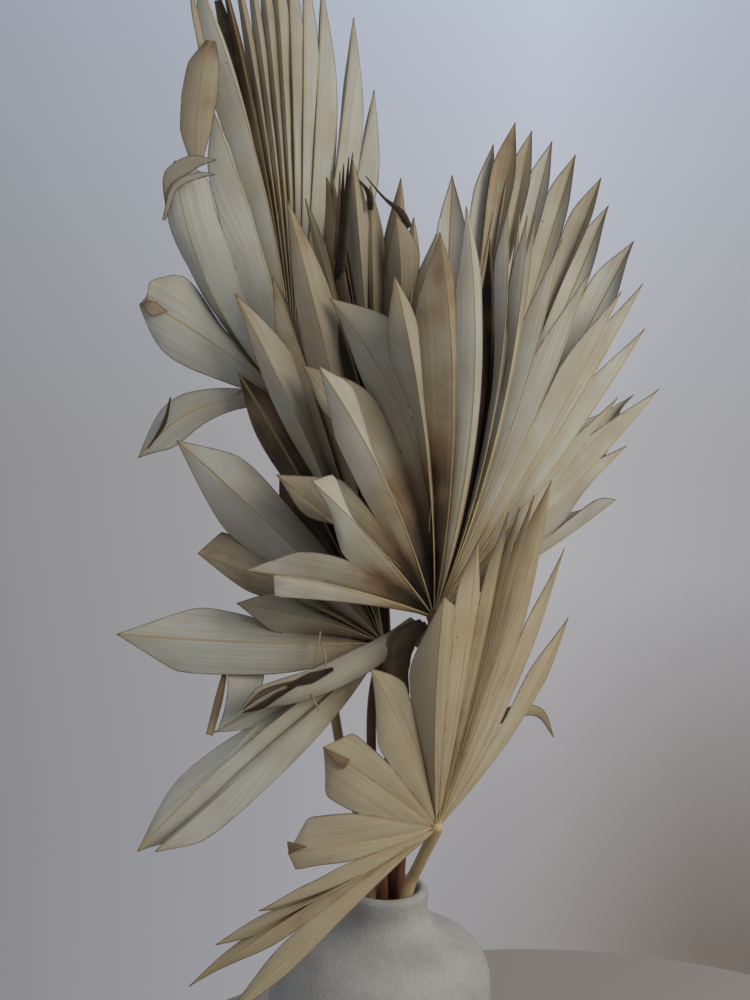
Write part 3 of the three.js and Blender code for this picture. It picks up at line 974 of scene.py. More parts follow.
@dataclass(frozen=True)
class DriedPalmBlade:
    """Fan palm blade, dried in the sun and cut to shape with scissors."""

    # A dry cuticle without wax is matt, and the veins under it give a silky grain along each segment. Folds
    # crack to orange brown, cut margins dry to a thin dark line, and the thin blade lets some light through.
    # Near the hub the blade, and its folds there above all, is darkened as painted shade where the pleats
    # shade each other.
    name: str
    pale: str = "#bdbbae"
    tan: str = "#a8987b"
    russet: str = "#8a7054"
    brown: str = "#564832"
    # The darkest stage is painted shadow, for leaf in deep shade.
    black: str = "#1d1710"
    rib: str = "#a8936a"
    margin: str = "#5c462c"
    crack: str = "#8a5a35"
    cracked: float = 0.5
    # Darkening toward the hub and in its folds: partly real browning at the base, largely painted shade.
    stained: float = 0.3
    translucent: float = 0.3
    roughness: float = 0.72
    gloss: float = 0.3
    specks: Specks = Specks("#54402a", cell_mm=15.0, rarest=0.6, radius=0.06, cover=0.7)
    # The real veins are about 0.3 mm apart, too fine to show in the render, so they are drawn 1.2 mm apart.
    vein_spacing_mm: float = 1.2
    vein_length_mm: float = 170.0
    band_spacing_mm: float = 6.0
    band_length_mm: float = 170.0 / 0.3
    blotch_mm: float = 42.0
    ragged_mm: float = 1000 / 260
    vein_relief_mm: float = 0.25
    # How far from a fold the painted fold shade reaches.
    folded_mm: float = 9.0
    rib_mm: tuple[float, float] = (0.5, 1.3)

    def build(self) -> bpy.types.Material:
        """Makes the material.

        Returns:
            The material.
        """
        material = bpy.data.materials.new(self.name)
        add = emptied(material)
        wear = add("Attribute", output="Color", attribute_name=TONE_AND_SHADE_MAP)
        share = wear.node.outputs["Alpha"]
        tone, margin, valley = add("SeparateColor", {0: wear}).node.outputs
        grain = add("UVMap", uv_map=GRAIN_MAP)
        place = add("TexCoord", output="Object")
        across = add("SeparateXYZ", {0: grain})
        rib_gap = add("Math", {0: across}, operation="ABSOLUTE")

        along_grain = []
        for spacing, length in (
            (self.vein_spacing_mm, self.vein_length_mm), (self.band_spacing_mm, self.band_length_mm)
        ):
            stretch = (1000 / spacing, 1000 / length, 1.0)
            along_grain.append(add("VectorMath", {0: grain, 1: stretch}, operation="MULTIPLY"))
        veins, bands, blotches, ragged = (
            add("TexNoise", {"Vector": vector, "Scale": scale, "Detail": detail}, "Fac")
            for vector, scale, detail in (
                (along_grain[0], 1.0, 3.0),
                (along_grain[1], 1.0, 2.0),
                (place, 1000 / self.blotch_mm, 4.0),
                (place, 1000 / self.ragged_mm, 3.0),
            )
        )

        # Painted shade near the hub: the folds there darken strongly, and the first third of each segment
        # darkens as a whole, partly as real browning.
        fold_shade = add("MapRange", {0: valley, 1: 0.0, 2: self.folded_mm, 3: 1.0, 4: 0.0})
        deep = add("MapRange", {0: share, 1: 0.1, 2: 0.6, 3: self.stained * 1.4, 4: 0.0})
        dryness = add("Math", {0: fold_shade, 1: deep, 2: tone}, operation="MULTIPLY_ADD")
        for source, low, high, at_low, at_high in (
            (blotches, 0.3, 0.75, -0.16, 0.22),
            (bands, 0.3, 0.75, -0.05, 0.06),
            (share, 0.0, 0.34, self.stained, 0.0),
            (share, 0.88, 1.0, 0.0, 0.16),
        ):
            drier = add("MapRange", {0: source, 1: low, 2: high, 3: at_low, 4: at_high})
            dryness = add("Math", {0: dryness, 1: drier}, operation="ADD")
        colour, reached = linear(self.pale), 0.0
        stages = ((0.54, self.tan), (0.74, self.russet), (0.96, self.brown), (1.35, self.black))
        for until, shade in stages:
            dried = add("MapRange", {0: dryness, 1: reached, 2: until})
            colour = add("Mix", {0: dried, 6: colour, 7: linear(shade)}, 2, data_type="RGBA")
            reached = until
        vein_shade = add("MapRange", {0: veins, 1: 0.3, 2: 0.7, 3: 0.86, 4: 1.1})
        colour = add("Mix", {0: 1.0, 6: colour, 7: vein_shade}, 2, data_type="RGBA", blend_type="MULTIPLY")

        rib_from, rib_to = (reach * MM for reach in self.rib_mm)
        rib_line = add("MapRange", {0: rib_gap, 1: rib_from, 2: rib_to, 3: 0.75, 4: 0.0})
        margin_reach = add("MapRange", {0: ragged, 1: 0.35, 2: 0.7, 3: 0.7, 4: 1.7})
        margin_line = add("MapRange", {0: margin, 1: 0.1, 2: margin_reach, 3: 0.9, 4: 0.0})
        crack_reach = add("MapRange", {0: ragged, 1: 0.35, 2: 0.75, 3: 0.4, 4: 2.6})
        crack_line = add("MapRange", {0: valley, 1: 0.0, 2: crack_reach, 3: 1.0, 4: 0.0})
        crack_where = add("MapRange", {0: blotches, 1: 0.42, 2: 0.6, 3: 0.15, 4: self.cracked})
        cracks = add("Math", {0: crack_line, 1: crack_where}, operation="MULTIPLY")
        for cover, shade in ((rib_line, self.rib), (margin_line, self.margin), (cracks, self.crack)):
            colour = add("Mix", {0: cover, 6: colour, 7: linear(shade)}, 2, data_type="RGBA")
        colour = self.specks.over(add, place, colour)

        relief = add("Math", {0: veins, 1: ragged}, operation="ADD")
        bump = add("Bump", {"Strength": 0.35, "Distance": self.vein_relief_mm * MM, "Height": relief})
        looks = {"Base Color": colour, "Roughness": self.roughness, "Specular IOR Level": self.gloss}
        skin = add("BsdfPrincipled", {**looks, "Normal": bump})
        through = add("BsdfTranslucent", {0: colour, 1: bump})
        mixed = add("MixShader", {0: self.translucent, 1: skin, 2: through})
        add("OutputMaterial", {0: mixed})
        return material


@dataclass(frozen=True)
class DriedStalk:
    """Leaf stalk or midrib of a fan palm, dried whole."""

    # Hard outer fibres dry to a faint gloss, with darker and lighter streaks that run along the stalk.
    name: str
    light: str
    dark: str
    # The real fibres are about 0.2 mm wide, too fine to show in the render, so they are drawn wider.
    fibre_mm: float = 1.1
    fibre_length_mm: float = 1000 / 22
    patch_mm: float = 1000 / 38
    fibre_relief_mm: float = 0.3
    roughness: float = 0.55
    gloss: float = 0.35

    def build(self) -> bpy.types.Material:
        """Makes the material.

        Returns:
            The material.
        """
        material = bpy.data.materials.new(self.name)
        add = emptied(material)
        grain = add("UVMap", uv_map=GRAIN_MAP)
        place = add("TexCoord", output="Object")
        wear = add("Attribute", output="Color", attribute_name=TONE_AND_SHADE_MAP)
        tone = add("SeparateColor", {0: wear})
        stretch = (1000 / self.fibre_mm, 1000 / self.fibre_length_mm, 1.0)
        fibre_place = add("VectorMath", {0: grain, 1: stretch}, operation="MULTIPLY")
        fibres = add("TexNoise", {"Vector": fibre_place, "Scale": 1.0, "Detail": 3.0}, "Fac")
        patches = add("TexNoise", {"Vector": place, "Scale": 1000 / self.patch_mm, "Detail": 3.0}, "Fac")
        streak = add("MapRange", {0: fibres, 1: 0.3, 2: 0.7, 3: -0.25, 4: 0.3})
        patch = add("MapRange", {0: patches, 1: 0.3, 2: 0.7, 3: -0.2, 4: 0.25})
        brown = add("Math", {0: streak, 1: patch}, operation="ADD")
        brown = add("Math", {0: brown, 1: tone}, operation="ADD", use_clamp=True)
        shades = {0: brown, 6: linear(self.light), 7: linear(self.dark)}
        colour = add("Mix", shades, 2, data_type="RGBA")
        bump = add("Bump", {"Strength": 0.5, "Distance": self.fibre_relief_mm * MM, "Height": fibres})
        looks = {"Base Color": colour, "Roughness": self.roughness, "Specular IOR Level": self.gloss}
        add("OutputMaterial", {0: add("BsdfPrincipled", {**looks, "Normal": bump})})
        return material


@dataclass(frozen=True)
class MattStoneware:
    """Thrown stoneware with a chalky white slip brushed on and left unglazed."""

    # Without a glaze it is dead matt. The grit in the clay leaves soft pits, the brush leaves faint upright
    # strokes, and where the slip is thin the grey clay shows through in clouds and specks.
    name: str = "matt_stoneware"
    slip: str = "#9c9a94"
    thin: str = "#8e8b84"
    specks: Specks = Specks("#6a655e", cell_mm=13.0, rarest=0.66, radius=0.085, cover=0.55)
    cloud_mm: float = 1000 / 28
    # The real grit is about 0.5 mm, too fine to show in the render, so its pits are drawn 3 mm apart.
    pit_mm: float = 3.0
    brush_mm: float = 9.0
    pit_depth_mm: float = 0.9
    roughness: float = 0.92
    gloss: float = 0.2

    def build(self) -> bpy.types.Material:
        """Makes the material.

        Returns:
            The material.
        """
        material = bpy.data.materials.new(self.name)
        add = emptied(material)
        place = add("TexCoord", output="Object")
        stretch = (300 / self.brush_mm, 300 / self.brush_mm, 1000 / self.brush_mm)
        brush_place = add("VectorMath", {0: place, 1: stretch}, operation="MULTIPLY")
        clouds, pits, brushed = (
            add("TexNoise", {"Vector": vector, "Scale": scale, "Detail": detail}, "Fac")
            for vector, scale, detail in (
                (place, 1000 / self.cloud_mm, 5.0), (place, 1000 / self.pit_mm, 4.0), (brush_place, 1.0, 4.0)
            )
        )
        thin = add("MapRange", {0: clouds, 1: 0.4, 2: 0.72})
        shades = {0: thin, 6: linear(self.slip), 7: linear(self.thin)}
        colour = add("Mix", shades, 2, data_type="RGBA")
        worn = add("MapRange", {0: pits, 1: 0.3, 2: 0.7, 3: 0.93, 4: 1.05})
        colour = add("Mix", {0: 1.0, 6: colour, 7: worn}, 2, data_type="RGBA", blend_type="MULTIPLY")
        colour = self.specks.over(add, place, colour)
        relief = add("Math", {0: pits, 1: brushed}, operation="ADD")
        bump = add("Bump", {"Strength": 0.6, "Distance": self.pit_depth_mm * MM, "Height": relief})
        looks = {"Base Color": colour, "Roughness": self.roughness, "Specular IOR Level": self.gloss}
        add("OutputMaterial", {0: add("BsdfPrincipled", {**looks, "Normal": bump})})
        return material


@dataclass(frozen=True)
class PaintedBoard:
    """The plain floor: board rolled with matt wall paint, even and without gloss."""

    name: str = "plain_floor"
    paint: str = "#948a84"
    roughness: float = 0.9

    def build(self) -> bpy.types.Material:
        """Makes the material.

        Returns:
            The material.
        """
        material = bpy.data.materials.new(self.name)
        add = emptied(material)
        skin = add("BsdfPrincipled", {"Base Color": linear(self.paint), "Roughness": self.roughness})
        add("OutputMaterial", {0: skin})
        return material


@dataclass(frozen=True)
class BottleVase:
    """The thrown bottle vase, a fine turned wall with the small unevenness of the hand.

    The outline is read at shares of the widest height below it and at rises above it, and hollow holds the
    radius and height of the inside's lower part. The neck stands a little to the right of the base's centre:
    the body leans over to it between offset_start and offset_end.
    """

    body_radius: float = 90.0
    base_radius: float = 56.0
    widest_height: float = 85.0
    shoulder_rise: float = 68.0
    shoulder_power: float = 2.5
    neck_radius: float = 32.5
    mouth_height: float = 185.0
    mouth_radius: float = 24.8
    wall: float = 7.0
    floor: float = 9.0
    lower_shares: tuple[float, ...] = (0.2, 0.45, 0.7)
    upper_rises: tuple[float, ...] = (18, 32, 44, 54, 61)
    inner_rises: tuple[float, ...] = (54, 40, 20)
    hollow: tuple[tuple[float, float], ...] = ((76, 42), (62, 20), (48, 9))
    neck_offset: float = 7.0
    offset_start: float = 70.0
    offset_end: float = 150.0
    sides: int = 168
    unevenness: float = 0.45
    fine_unevenness: float = 0.12
    throwing_rings: float = 0.1

    def shoulder(self, rise: float) -> float:
        """The body's radius at a height above its widest level."""
        share = min(1.0, rise / self.shoulder_rise)
        return self.body_radius * (1 - share**self.shoulder_power) ** (1 / self.shoulder_power)

    def profile(self) -> list[Vector]:
        """Lays out the wall's outline, from the base's centre out, up, over the lip and in.

        Returns:
            Its points as (radius, height, 0).
        """
        base, body, neck, mouth = self.base_radius, self.body_radius, self.neck_radius, self.mouth_height
        neck_bottom = self.widest_height + self.shoulder_rise
        outside = [(base - 1.2, 1.0), (base, 4.0)]
        for share in self.lower_shares:
            swell = math.sin(share * math.pi / 2) ** 0.85
            outside.append((base + (body - base) * swell, self.widest_height * share))
        outside.append((body, self.widest_height))
        outside += [(self.shoulder(rise), self.widest_height + rise) for rise in self.upper_rises]
        outside += [(neck + 9, neck_bottom - 1.5), (neck + 1, neck_bottom + 9), (neck, mouth - 14)]
        outside += [(neck + 0.6, mouth - 4), (neck - 0.9, mouth - 1.2), (neck - 4, mouth)]
        inner = self.mouth_radius
        outside += [(inner + 1.2, mouth - 1.2), (inner, mouth - 4), (inner, neck_bottom - 2)]
        for rise in self.inner_rises:
            outside.append((self.shoulder(rise) - self.wall, self.widest_height + rise - self.wall))
        outside += [(body - self.wall, self.widest_height - 8), *self.hollow]
        line = smooth_line([Vector((r, z, 0)) for r, z in outside], 5)
        foot = [Vector((r, 0, 0)) for r in (0, 18, 36, base - 4)]
        inside = [Vector((r, self.floor, 0)) for r in (32, 16, 0)]
        return [*foot, *line, *inside]

    def build(self, skin: bpy.types.Material) -> None:
        """Makes the vase and dresses it.

        Args:
            skin: its finish.
        """
        surface = Surface()
        rows = []
        for radius, height, _ in self.profile():
            lift = smoothstep(self.offset_start, self.offset_end, height)
            if radius == 0:
                rows.append([surface.point(Vector((self.neck_offset * lift, 0, height)))])
                continue
            row = []
            for side in range(self.sides):
                angle = 2 * math.pi * side / self.sides
                spoke = Vector((math.cos(angle), math.sin(angle), 0))
                place = Vector((spoke.x * radius, spoke.y * radius, height))
                uneven = noise.noise(place / 34) * self.unevenness
                uneven += noise.noise(place / 9) * self.fine_unevenness
                rings = self.throwing_rings * math.sin(height * 0.7 + 2 * noise.noise(place / 40))
                hand = (uneven + rings) * smoothstep(0, 8, height)
                place += spoke * hand
                row.append(surface.point(place + RIGHT * (self.neck_offset * lift)))
            rows.append(row)
        corner = Corner(0.0, 0.0, 0.0, FAR, FAR, 0.0)
        for row, above in zip(rows, rows[1:]):
            for side in range(self.sides):
                after = (side + 1) % self.sides
                if len(row) == 1:
                    surface.face((row[0], above[after], above[side]), (corner,) * 3)
                elif len(above) == 1:
                    surface.face((row[side], row[after], above[0]), (corner,) * 3)
                else:
                    surface.face((row[side], row[after], above[after], above[side]), (corner,) * 4)
        vase = surface.make("stoneware_vase", skin, Slot.STONEWARE, sharp=50)
        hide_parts("vase")


STEM_FOOT = 9.3

RIGHT_LEAF = PalmLeaf(
    name="right_leaf",
    blade_slot=Slot.PALE_LEAF,
    stalk_slot=Slot.RED_BROWN_STALK,
    hub=(42.7, -20, 414.4),
    root=5.5,
    joined=0.58,
    swell=1.12,
    dark=0.15,
    seed=3,
    fibres=20,
    stem=Stem(9, 8, (
        (30, 8, STEM_FOOT), (30, 8, 30), (23, 7, 120), (17, 6, 185), (24, -3, 260), (34, -13, 340),
    ), Tone.BROWN),
    segments=(
        Segment(-121, 34, 50, (16, 15), -40, 45, 6, 4, cut=(0.97, 0.74), crisp=12, dark=0.6),
        Segment(-144, 37, 34, (17, 17), 30, 35, 6, 6, cut=(0.7, 0.78), tone=Tone.CREAM, crisp=8, dark=0.6),
        Segment(-92, 104, 60, (15, 19), 0, 30, 4, 4, cut=(0.64, 0.92), crisp=9, dark=0.6),
        Segment(-120, 109, 16, (15, 30), 10, 18, 6, 2, cut=(0.72, 0.76), tone=Tone.TAN, crisp=10, dark=0.6),
        Segment(-87, 189, 52, (21, 20), -4, 30, 6, 9, cut=(0.74, 0.87), crisp=10, dark=0.6),
        Segment(-101, 193, 8, (18, 33), 15, 22, 8, 12, cut=(0.7, 0.8), tone=Tone.TAN, dark=0.6),
        Segment(-80, 245, -4, (22, 32), 6, 28, 6, 26, cut=(0.74, 0.86), tone=Tone.CREAM, dark=0.6),
        Segment(
            -31, 256, 52, (25, 20), -16, 34, 4, 9, cut=(0.78, 0.84), tone=Tone.CREAM, crisp=6,
            dark=0.5,
        ),
        Segment(3, 289, 46, (30, 14), -20, 36, 6, 12, cut=(0.8, 0.88), tone=Tone.TAN, crisp=6, dark=0.3),
        Segment(23, 309, 40, (19, 12), -20, 36, 6, 17, cut=(0.76, 0.85), tone=Tone.SAGE),
        # A dark segment: painted shadow in the deep gap between the pleats.
        Segment(43, 291, -2, (16, 10), -30, 56, 4, 17, tone=Tone.SCORCHED, dark=0.4),
        Segment(55, 310, 28, (14, 10), -36, 54, 4, 17, cut=(0.86, 0.86)),
        Segment(65, 313, 8, (9, 8), -36, 58, 4, 16, tone=Tone.PALE),
        Segment(70, 305, 22, (13, 9), -38, 56, 4, 15, cut=(0.84, 0.84)),
        Segment(77, 308, 8, (12, 10), -40, 52, 4, 14, tone=Tone.PALE),
        Segment(98, 290, 6, (20, 16), -42, 44, 4, 10, tone=Tone.PALE),
        Segment(121, 267, -14, (21, 17), -45, 42, 4, 8, tone=Tone.SAGE),
        Segment(150, 255, -50, (21, 17), -50, 42, 4, 6, tone=Tone.PALE),
        Segment(173, 266, -92, (21, 19), -56, 50, 4, 6),
        Segment(177, 231, -110, (20, 19), -60, 50, 4, 6, tone=Tone.SAGE),
        Segment(156, 175, -120, (14, 12), -64, 48, 4, 6),
        Segment(193, 183, -140, (20, 20), -68, 40, 4, 6, tone=Tone.PALE),
        Segment(169, 136, -165, (20, 18), -76, 46, 4, 4, tone=Tone.SAGE),
        Segment(162, 90, -185, (20, 18), -84, 40, 4, 4, cut=(0.86, 0.86), crisp=3, tone=Tone.SAGE),
        Segment(156, 129, -205, (20, 20), -100, 46),
        Segment(179, 181, -195, (20, 20), -112, 48),
        Segment(173, 308, -150, (13, 18), -140, 30, cut=(0.86, 0.88), tone=Tone.SAGE),
        Segment(150, 336, -136, (10, 15), -146, 30, cut=(0.87, 0.89), tone=Tone.SAGE),
        Segment(143, 358, -128, (10, 15), -152, 28, cut=(0.88, 0.9), tone=Tone.CREAM),
        Segment(121, 376, -122, (10, 15), -158, 28, cut=(0.88, 0.9), tone=Tone.CREAM),
        Segment(101, 386, -116, (10, 15), -164, 26, cut=(0.88, 0.9), tone=Tone.SAGE),
        Segment(84, 394, -112, (10, 15), -170, 24, cut=(0.88, 0.9), tone=Tone.CREAM),
        Segment(70, 400, -108, (10, 15), -174, 22, cut=(0.88, 0.9), tone=Tone.TAN),
        Segment(52, 382, -108, (10, 15), -178, 26, cut=(0.86, 0.88), tone=Tone.SAGE),
        Segment(18, 356, -104, (18, 14), -182, 30, cut=(0.84, 0.86), tone=Tone.SAGE),
    ),
    strips=(
        Strip(
            ((-8, -5, -8), (-24, -19, -8), (-28, -38, -6), (-21, -62, -6)),
            (8, 22, 20, 5), cup=25, tone=Tone.BROWN,
        ),
        Strip(((-4, -8, -12), (-14, -16, -14), (-9, -26, -14)), (10, 14, 1), cup=15, tone=Tone.TAN),
    ),
)

FRONT_LEAF = PalmLeaf(
    name="front_leaf",
    blade_slot=Slot.TAN_LEAF,
    stalk_slot=Slot.TAN_STALK,
    hub=(45.2, -54, 256),
    root=4.0,
    joined=0.66,
    swell=1.1,
    seed=5,
    fibres=10,
    stem=Stem(10, 8, (
        (2, -30, STEM_FOOT), (2, -30, 30), (10, -20, 110),
        (20.1, -11.8, 170), (25.5, -14.8, 194), (32, -26, 214),
    ), Tone.SAGE),
    segments=(
        Segment(-167, -143, 36, (11, 9), -22, 36, 6, 4, 0.56, tone=Tone.CREAM),
        Segment(-188, -115, 28, (10, 11), 10, 44, 6, 4, 0.55, tone=Tone.TAN),
        Segment(-168, -84, 26, (12, 14), -10, 32, 8, -4, 0.66, tone=Tone.CREAM),
        Segment(-136, -60, 18, (14, 10), 14, 30, 8, -6, 0.55, tone=Tone.CREAM),
        Segment(-114, -17, 12, (15, 24), 0, 16, 4, 0, 0.62, cut=(0.97, 0.84), crisp=14),
        Segment(-87, 64, 16, (30, 22), -4, 22, 4, 2, 0.6, cut=(0.8, 0.88), crisp=14, tone=Tone.CREAM),
        Segment(-51, 124, 18, (22, 21), 0, 20, 3, 5, 0.76, cut=(0.6, 0.86), crisp=12),
        Segment(4, 180, 48, (24, 14), -12, 34, 2, -4, 0.88, cut=(0.68, 0.95), crisp=10, tone=Tone.CREAM),
        Segment(30, 222, 32, (17, 13), -16, 46, 2, 2, 0.8, cut=(0.78, 0.8)),
        Segment(54, 243, 12, (15, 11), -16, 56, 2, 4, 0.8, tone=Tone.OCHRE),
        Segment(63, 246, 4, (13, 10), -18, 58, 2, 4, 0.8, tone=Tone.TAN),
        Segment(75, 256, -4, (13, 11), -20, 56, 2, 4, 0.75, tone=Tone.TAN),
        Segment(89, 267, -14, (16, 14), -25, 50, 2, 6, 0.6, cut=(0.8, 0.86), tone=Tone.CREAM),
        Segment(101, 214, -34, (8, 8), -30, 40, 0, 6, 0.3, tone=Tone.PALE),
        Segment(105, 159, -44, (12, 12), -30, 30, 0, 8, 0.2, tone=Tone.PALE),
    ),
    strips=(
        Strip(((-69, 51, 19), (-78, 57, 20), (-87, 64, 17)), (9, 6, 0.5), cup=20, tone=Tone.RUSSET),
        Strip(((-100, -12, 15), (-107, -12, 15), (-114, -13, 13)), (0.4, 5, 10), cup=20, tone=Tone.RUSSET),
        Strip(
            ((20, 38, -10), (34, 60, -16), (47, 80, -22), (66, 87, -30), (82, 84, -36), (93, 65, -38)),
            (3, 6, 8, 10, 8, 0.5), face=(-30, 20), cup=35, tone=Tone.TAN,
        ),
    ),
)

MIDDLE_LEAF = PalmLeaf(
    name="middle_left_leaf",
    blade_slot=Slot.PALE_LEAF,
    stalk_slot=Slot.RED_BROWN_STALK,
    hub=(4.6, -1.9, 387.8),
    root=4.0,
    joined=0.26,
    swell=3.4,
    dark=0.4,
    seed=11,
    fibres=12,
    stem=Stem(8, 7, (
        (2, -2, STEM_FOOT), (2, -2, 30), (3, 0, 110), (4, 1, 185), (-5, 1, 290), (-4, 0, 345),
    ), Tone.BROWN),
    segments=(
        Segment(-174, -155, 42, (20, 12), -36, 45, 4, -2, 0.86, cut=(0.86, 0.93), crisp=6, tone=Tone.SAGE),
        Segment(-188, -156, 34, (16, 22), 4, 34, 6, 9, 0.2, cut=(0.92, 0.76), crisp=9, tone=Tone.SAGE),
        Segment(-132, -68, 10, (14, 5), -30, 45, 4, 0, 0.2, cut=(0.8, 0.9), tone=Tone.PALE),
        Segment(-205, 9, 26, (28, 28), 4, 14, 6, -2, 0.2, cut=(0.77, 0.7), crisp=16, tone=Tone.SAGE),
        Segment(
            -114, 32, 14, (20, 20), -10, 22, 6, 4, cut=(0.72, 0.74), crisp=12, tone=Tone.TAN,
            dark=-0.3,
        ),
        Segment(-146, 70, -8, (17, 26), -5, 20, 6, 4, cut=(0.7, 0.94), crisp=12, tone=Tone.TAN, dark=-0.2),
        Segment(-161, 158, 8, (36, 27), 0, 20, 6, 4, cut=(0.66, 0.8), crisp=9, tone=Tone.PALE, dark=-0.2),
        Segment(-114, 211, -8, (22, 26), 10, 28, 4, 4, cut=(0.8, 0.76), tone=Tone.BROWN, dark=0.3),
        Segment(-115, 271, 16, (22, 30), -4, 22, 4, 7, cut=(0.62, 0.74), crisp=5, tone=Tone.CREAM),
        Segment(-87, 286, 2, (18, 20), -30, 38, 4, 4, cut=(0.8, 0.86), tone=Tone.TAN),
        Segment(-75, 343, 18, (25, 28), -4, 28, 4, 5, cut=(0.68, 0.72), crisp=4, tone=Tone.TAN),
        # A dark segment: painted shadow in the gap behind the leaf.
        Segment(-42, 268, 4, (24, 18), -14, 34, 2, 0, tone=Tone.SCORCHED),
    ),
    strips=(
        Strip(
            (
                (23, 19, 2), (3, 1, 14), (-21, -13, 25), (-48, -26, 30),
                (-72, -34, 33), (-93, -40, 34), (-111, -52, 34),
            ),
            (8, 20, 24, 24, 24, 20, 3), face=(20, -15), cup=95, tone=Tone.CREAM,
        ),
        # The next three thin dark strips are painted shadow in the rolled piece.
        Strip(
            ((-64, -28, 36), (-79, -36, 38), (-93, -45, 38), (-108, -50, 36)), (1, 6, 7, 1), face=(40, 40),
            cup=-80, tone=Tone.SCORCHED,
        ),
        Strip(((-39, -17, 31), (-56, -24, 33), (-74, -30, 34)), (3, 9, 3), cup=50, tone=Tone.SCORCHED),
        Strip(((-66, -25, 38), (-91, -34, 40), (-108, -48, 37)), (1, 5, 0.5), cup=-90, tone=Tone.BROWN),
        # Three wide brown strips behind the leaf: dark sheets that paint the shade in the gap between the
        # leaves.
        Strip(
            ((-1, 4, -6), (-36, 60, -16), (-63, 119, -20), (-77, 174, -20)),
            (6, 38, 42, 3), cup=25, tone=Tone.BROWN,
        ),
        Strip(
            ((0, 6, -8), (-16, 76, -18), (-31, 149, -22), (-37, 214, -22)),
            (6, 36, 42, 3), cup=25, tone=Tone.BROWN,
        ),
        Strip(
            ((8, 3, -6), (-26, 8, -12), (-59, 11, -14), (-89, 15, -12)),
            (8, 26, 30, 3), cup=25, tone=Tone.BROWN,
        ),
        Strip(
            ((-122, -15, 8), (-128, -43, 10), (-135, -70, 12)),
            (3, 7, 6), face=(-25, -25), tone=Tone.RUSSET,
        ),
        Strip(
            ((-106, -5, 5), (-108, -31, 7), (-116, -51, 9), (-129, -68, 10)),
            (30, 28, 17, 1), face=(-16, -16), cup=16, tone=Tone.SAGE,
        ),
    ),
    sticks=(
        ((-49, 11, 24), (-51, -1, 28), (-54, -14, 26)),
        ((-48, 3, 28), (-45, -7, 32), (-45, -16, 30)),
        ((-56, -36, 36), (-52, -43, 40), (-50, -49, 38)),
    ),
)

BACK_LEAF = PalmLeaf(
    name="back_leaf",
    blade_slot=Slot.SHADED_LEAF,
    stalk_slot=Slot.RED_BROWN_STALK,
    hub=(0, 45, 532.2),
    root=4.5,
    joined=0.5,
    swell=1.3,
    dark=0.2,
    seed=17,
    fibres=8,
    stem=Stem(9, 8, (
        (12, 34, STEM_FOOT), (12, 34, 30), (11, 22, 120), (10, 16, 185), (9, 25, 300), (3, 38, 450),
    ), Tone.BROWN),
    segments=(
        Segment(-58, 200, -16, (12, 12), 10, 50, 2, 0, tone=Tone.TAN),
        Segment(-41, 217, -14, (17, 17), 0, 40, 2, 0, tone=Tone.OCHRE),
        Segment(-37, 221, -12, (12, 12), -10, 60, 2, 0, tone=Tone.TAN),
        Segment(-20, 227, 6, (19, 19), 0, 34, 2, 0, tone=Tone.PALE),
        Segment(-6, 209, -6, (19, 19), -5, 34, 2, 0, tone=Tone.CREAM),
        Segment(18, 216, -14, (19, 16), -15, 42, 2, 4, tone=Tone.TAN),
        Segment(14, 184, 8, (20, 22), 5, 26, 4, 10, cut=(0.74, 0.84), tone=Tone.TAN),
        Segment(28, 184, -8, (17, 18), -15, 40, 4, 8, tone=Tone.CREAM),
        Segment(46, 171, -6, (18, 16), -25, 40, 4, 8, tone=Tone.CREAM),
    ),
    strips=(
        # Thin dark needles: painted shadow among the back leaf's segments.
        Strip(((-32, 133, 4), (-29, 180, 6), (-27, 224, 6)), (7, 6, 0.5), cup=120, tone=Tone.SCORCHED),
        Strip(((-30, 137, 8), (-26, 187, 9), (-23, 229, 9)), (7, 5, 0.5), cup=120, tone=Tone.SCORCHED),
        Strip(((-29, 140, 11), (-24, 191, 12), (-20, 232, 11)), (6, 5, 0.5), cup=120, tone=Tone.SCORCHED),
        Strip(((-33, 149, 6), (-31, 184, 7), (-30, 218, 7)), (5, 4, 0.5), cup=120, tone=Tone.BROWN),
        Strip(
            ((24, 174, 4), (18, 186, 6), (5, 197, 6), (-10, 215, 3)),
            (7, 6, 2, 0.6), cup=90, tone=Tone.SCORCHED,
        ),
        Strip(((-6, 188, 4), (-7, 200, 6), (-15, 212, 4)), (5, 5, 0.6), cup=60, tone=Tone.SCORCHED),
    ),
)

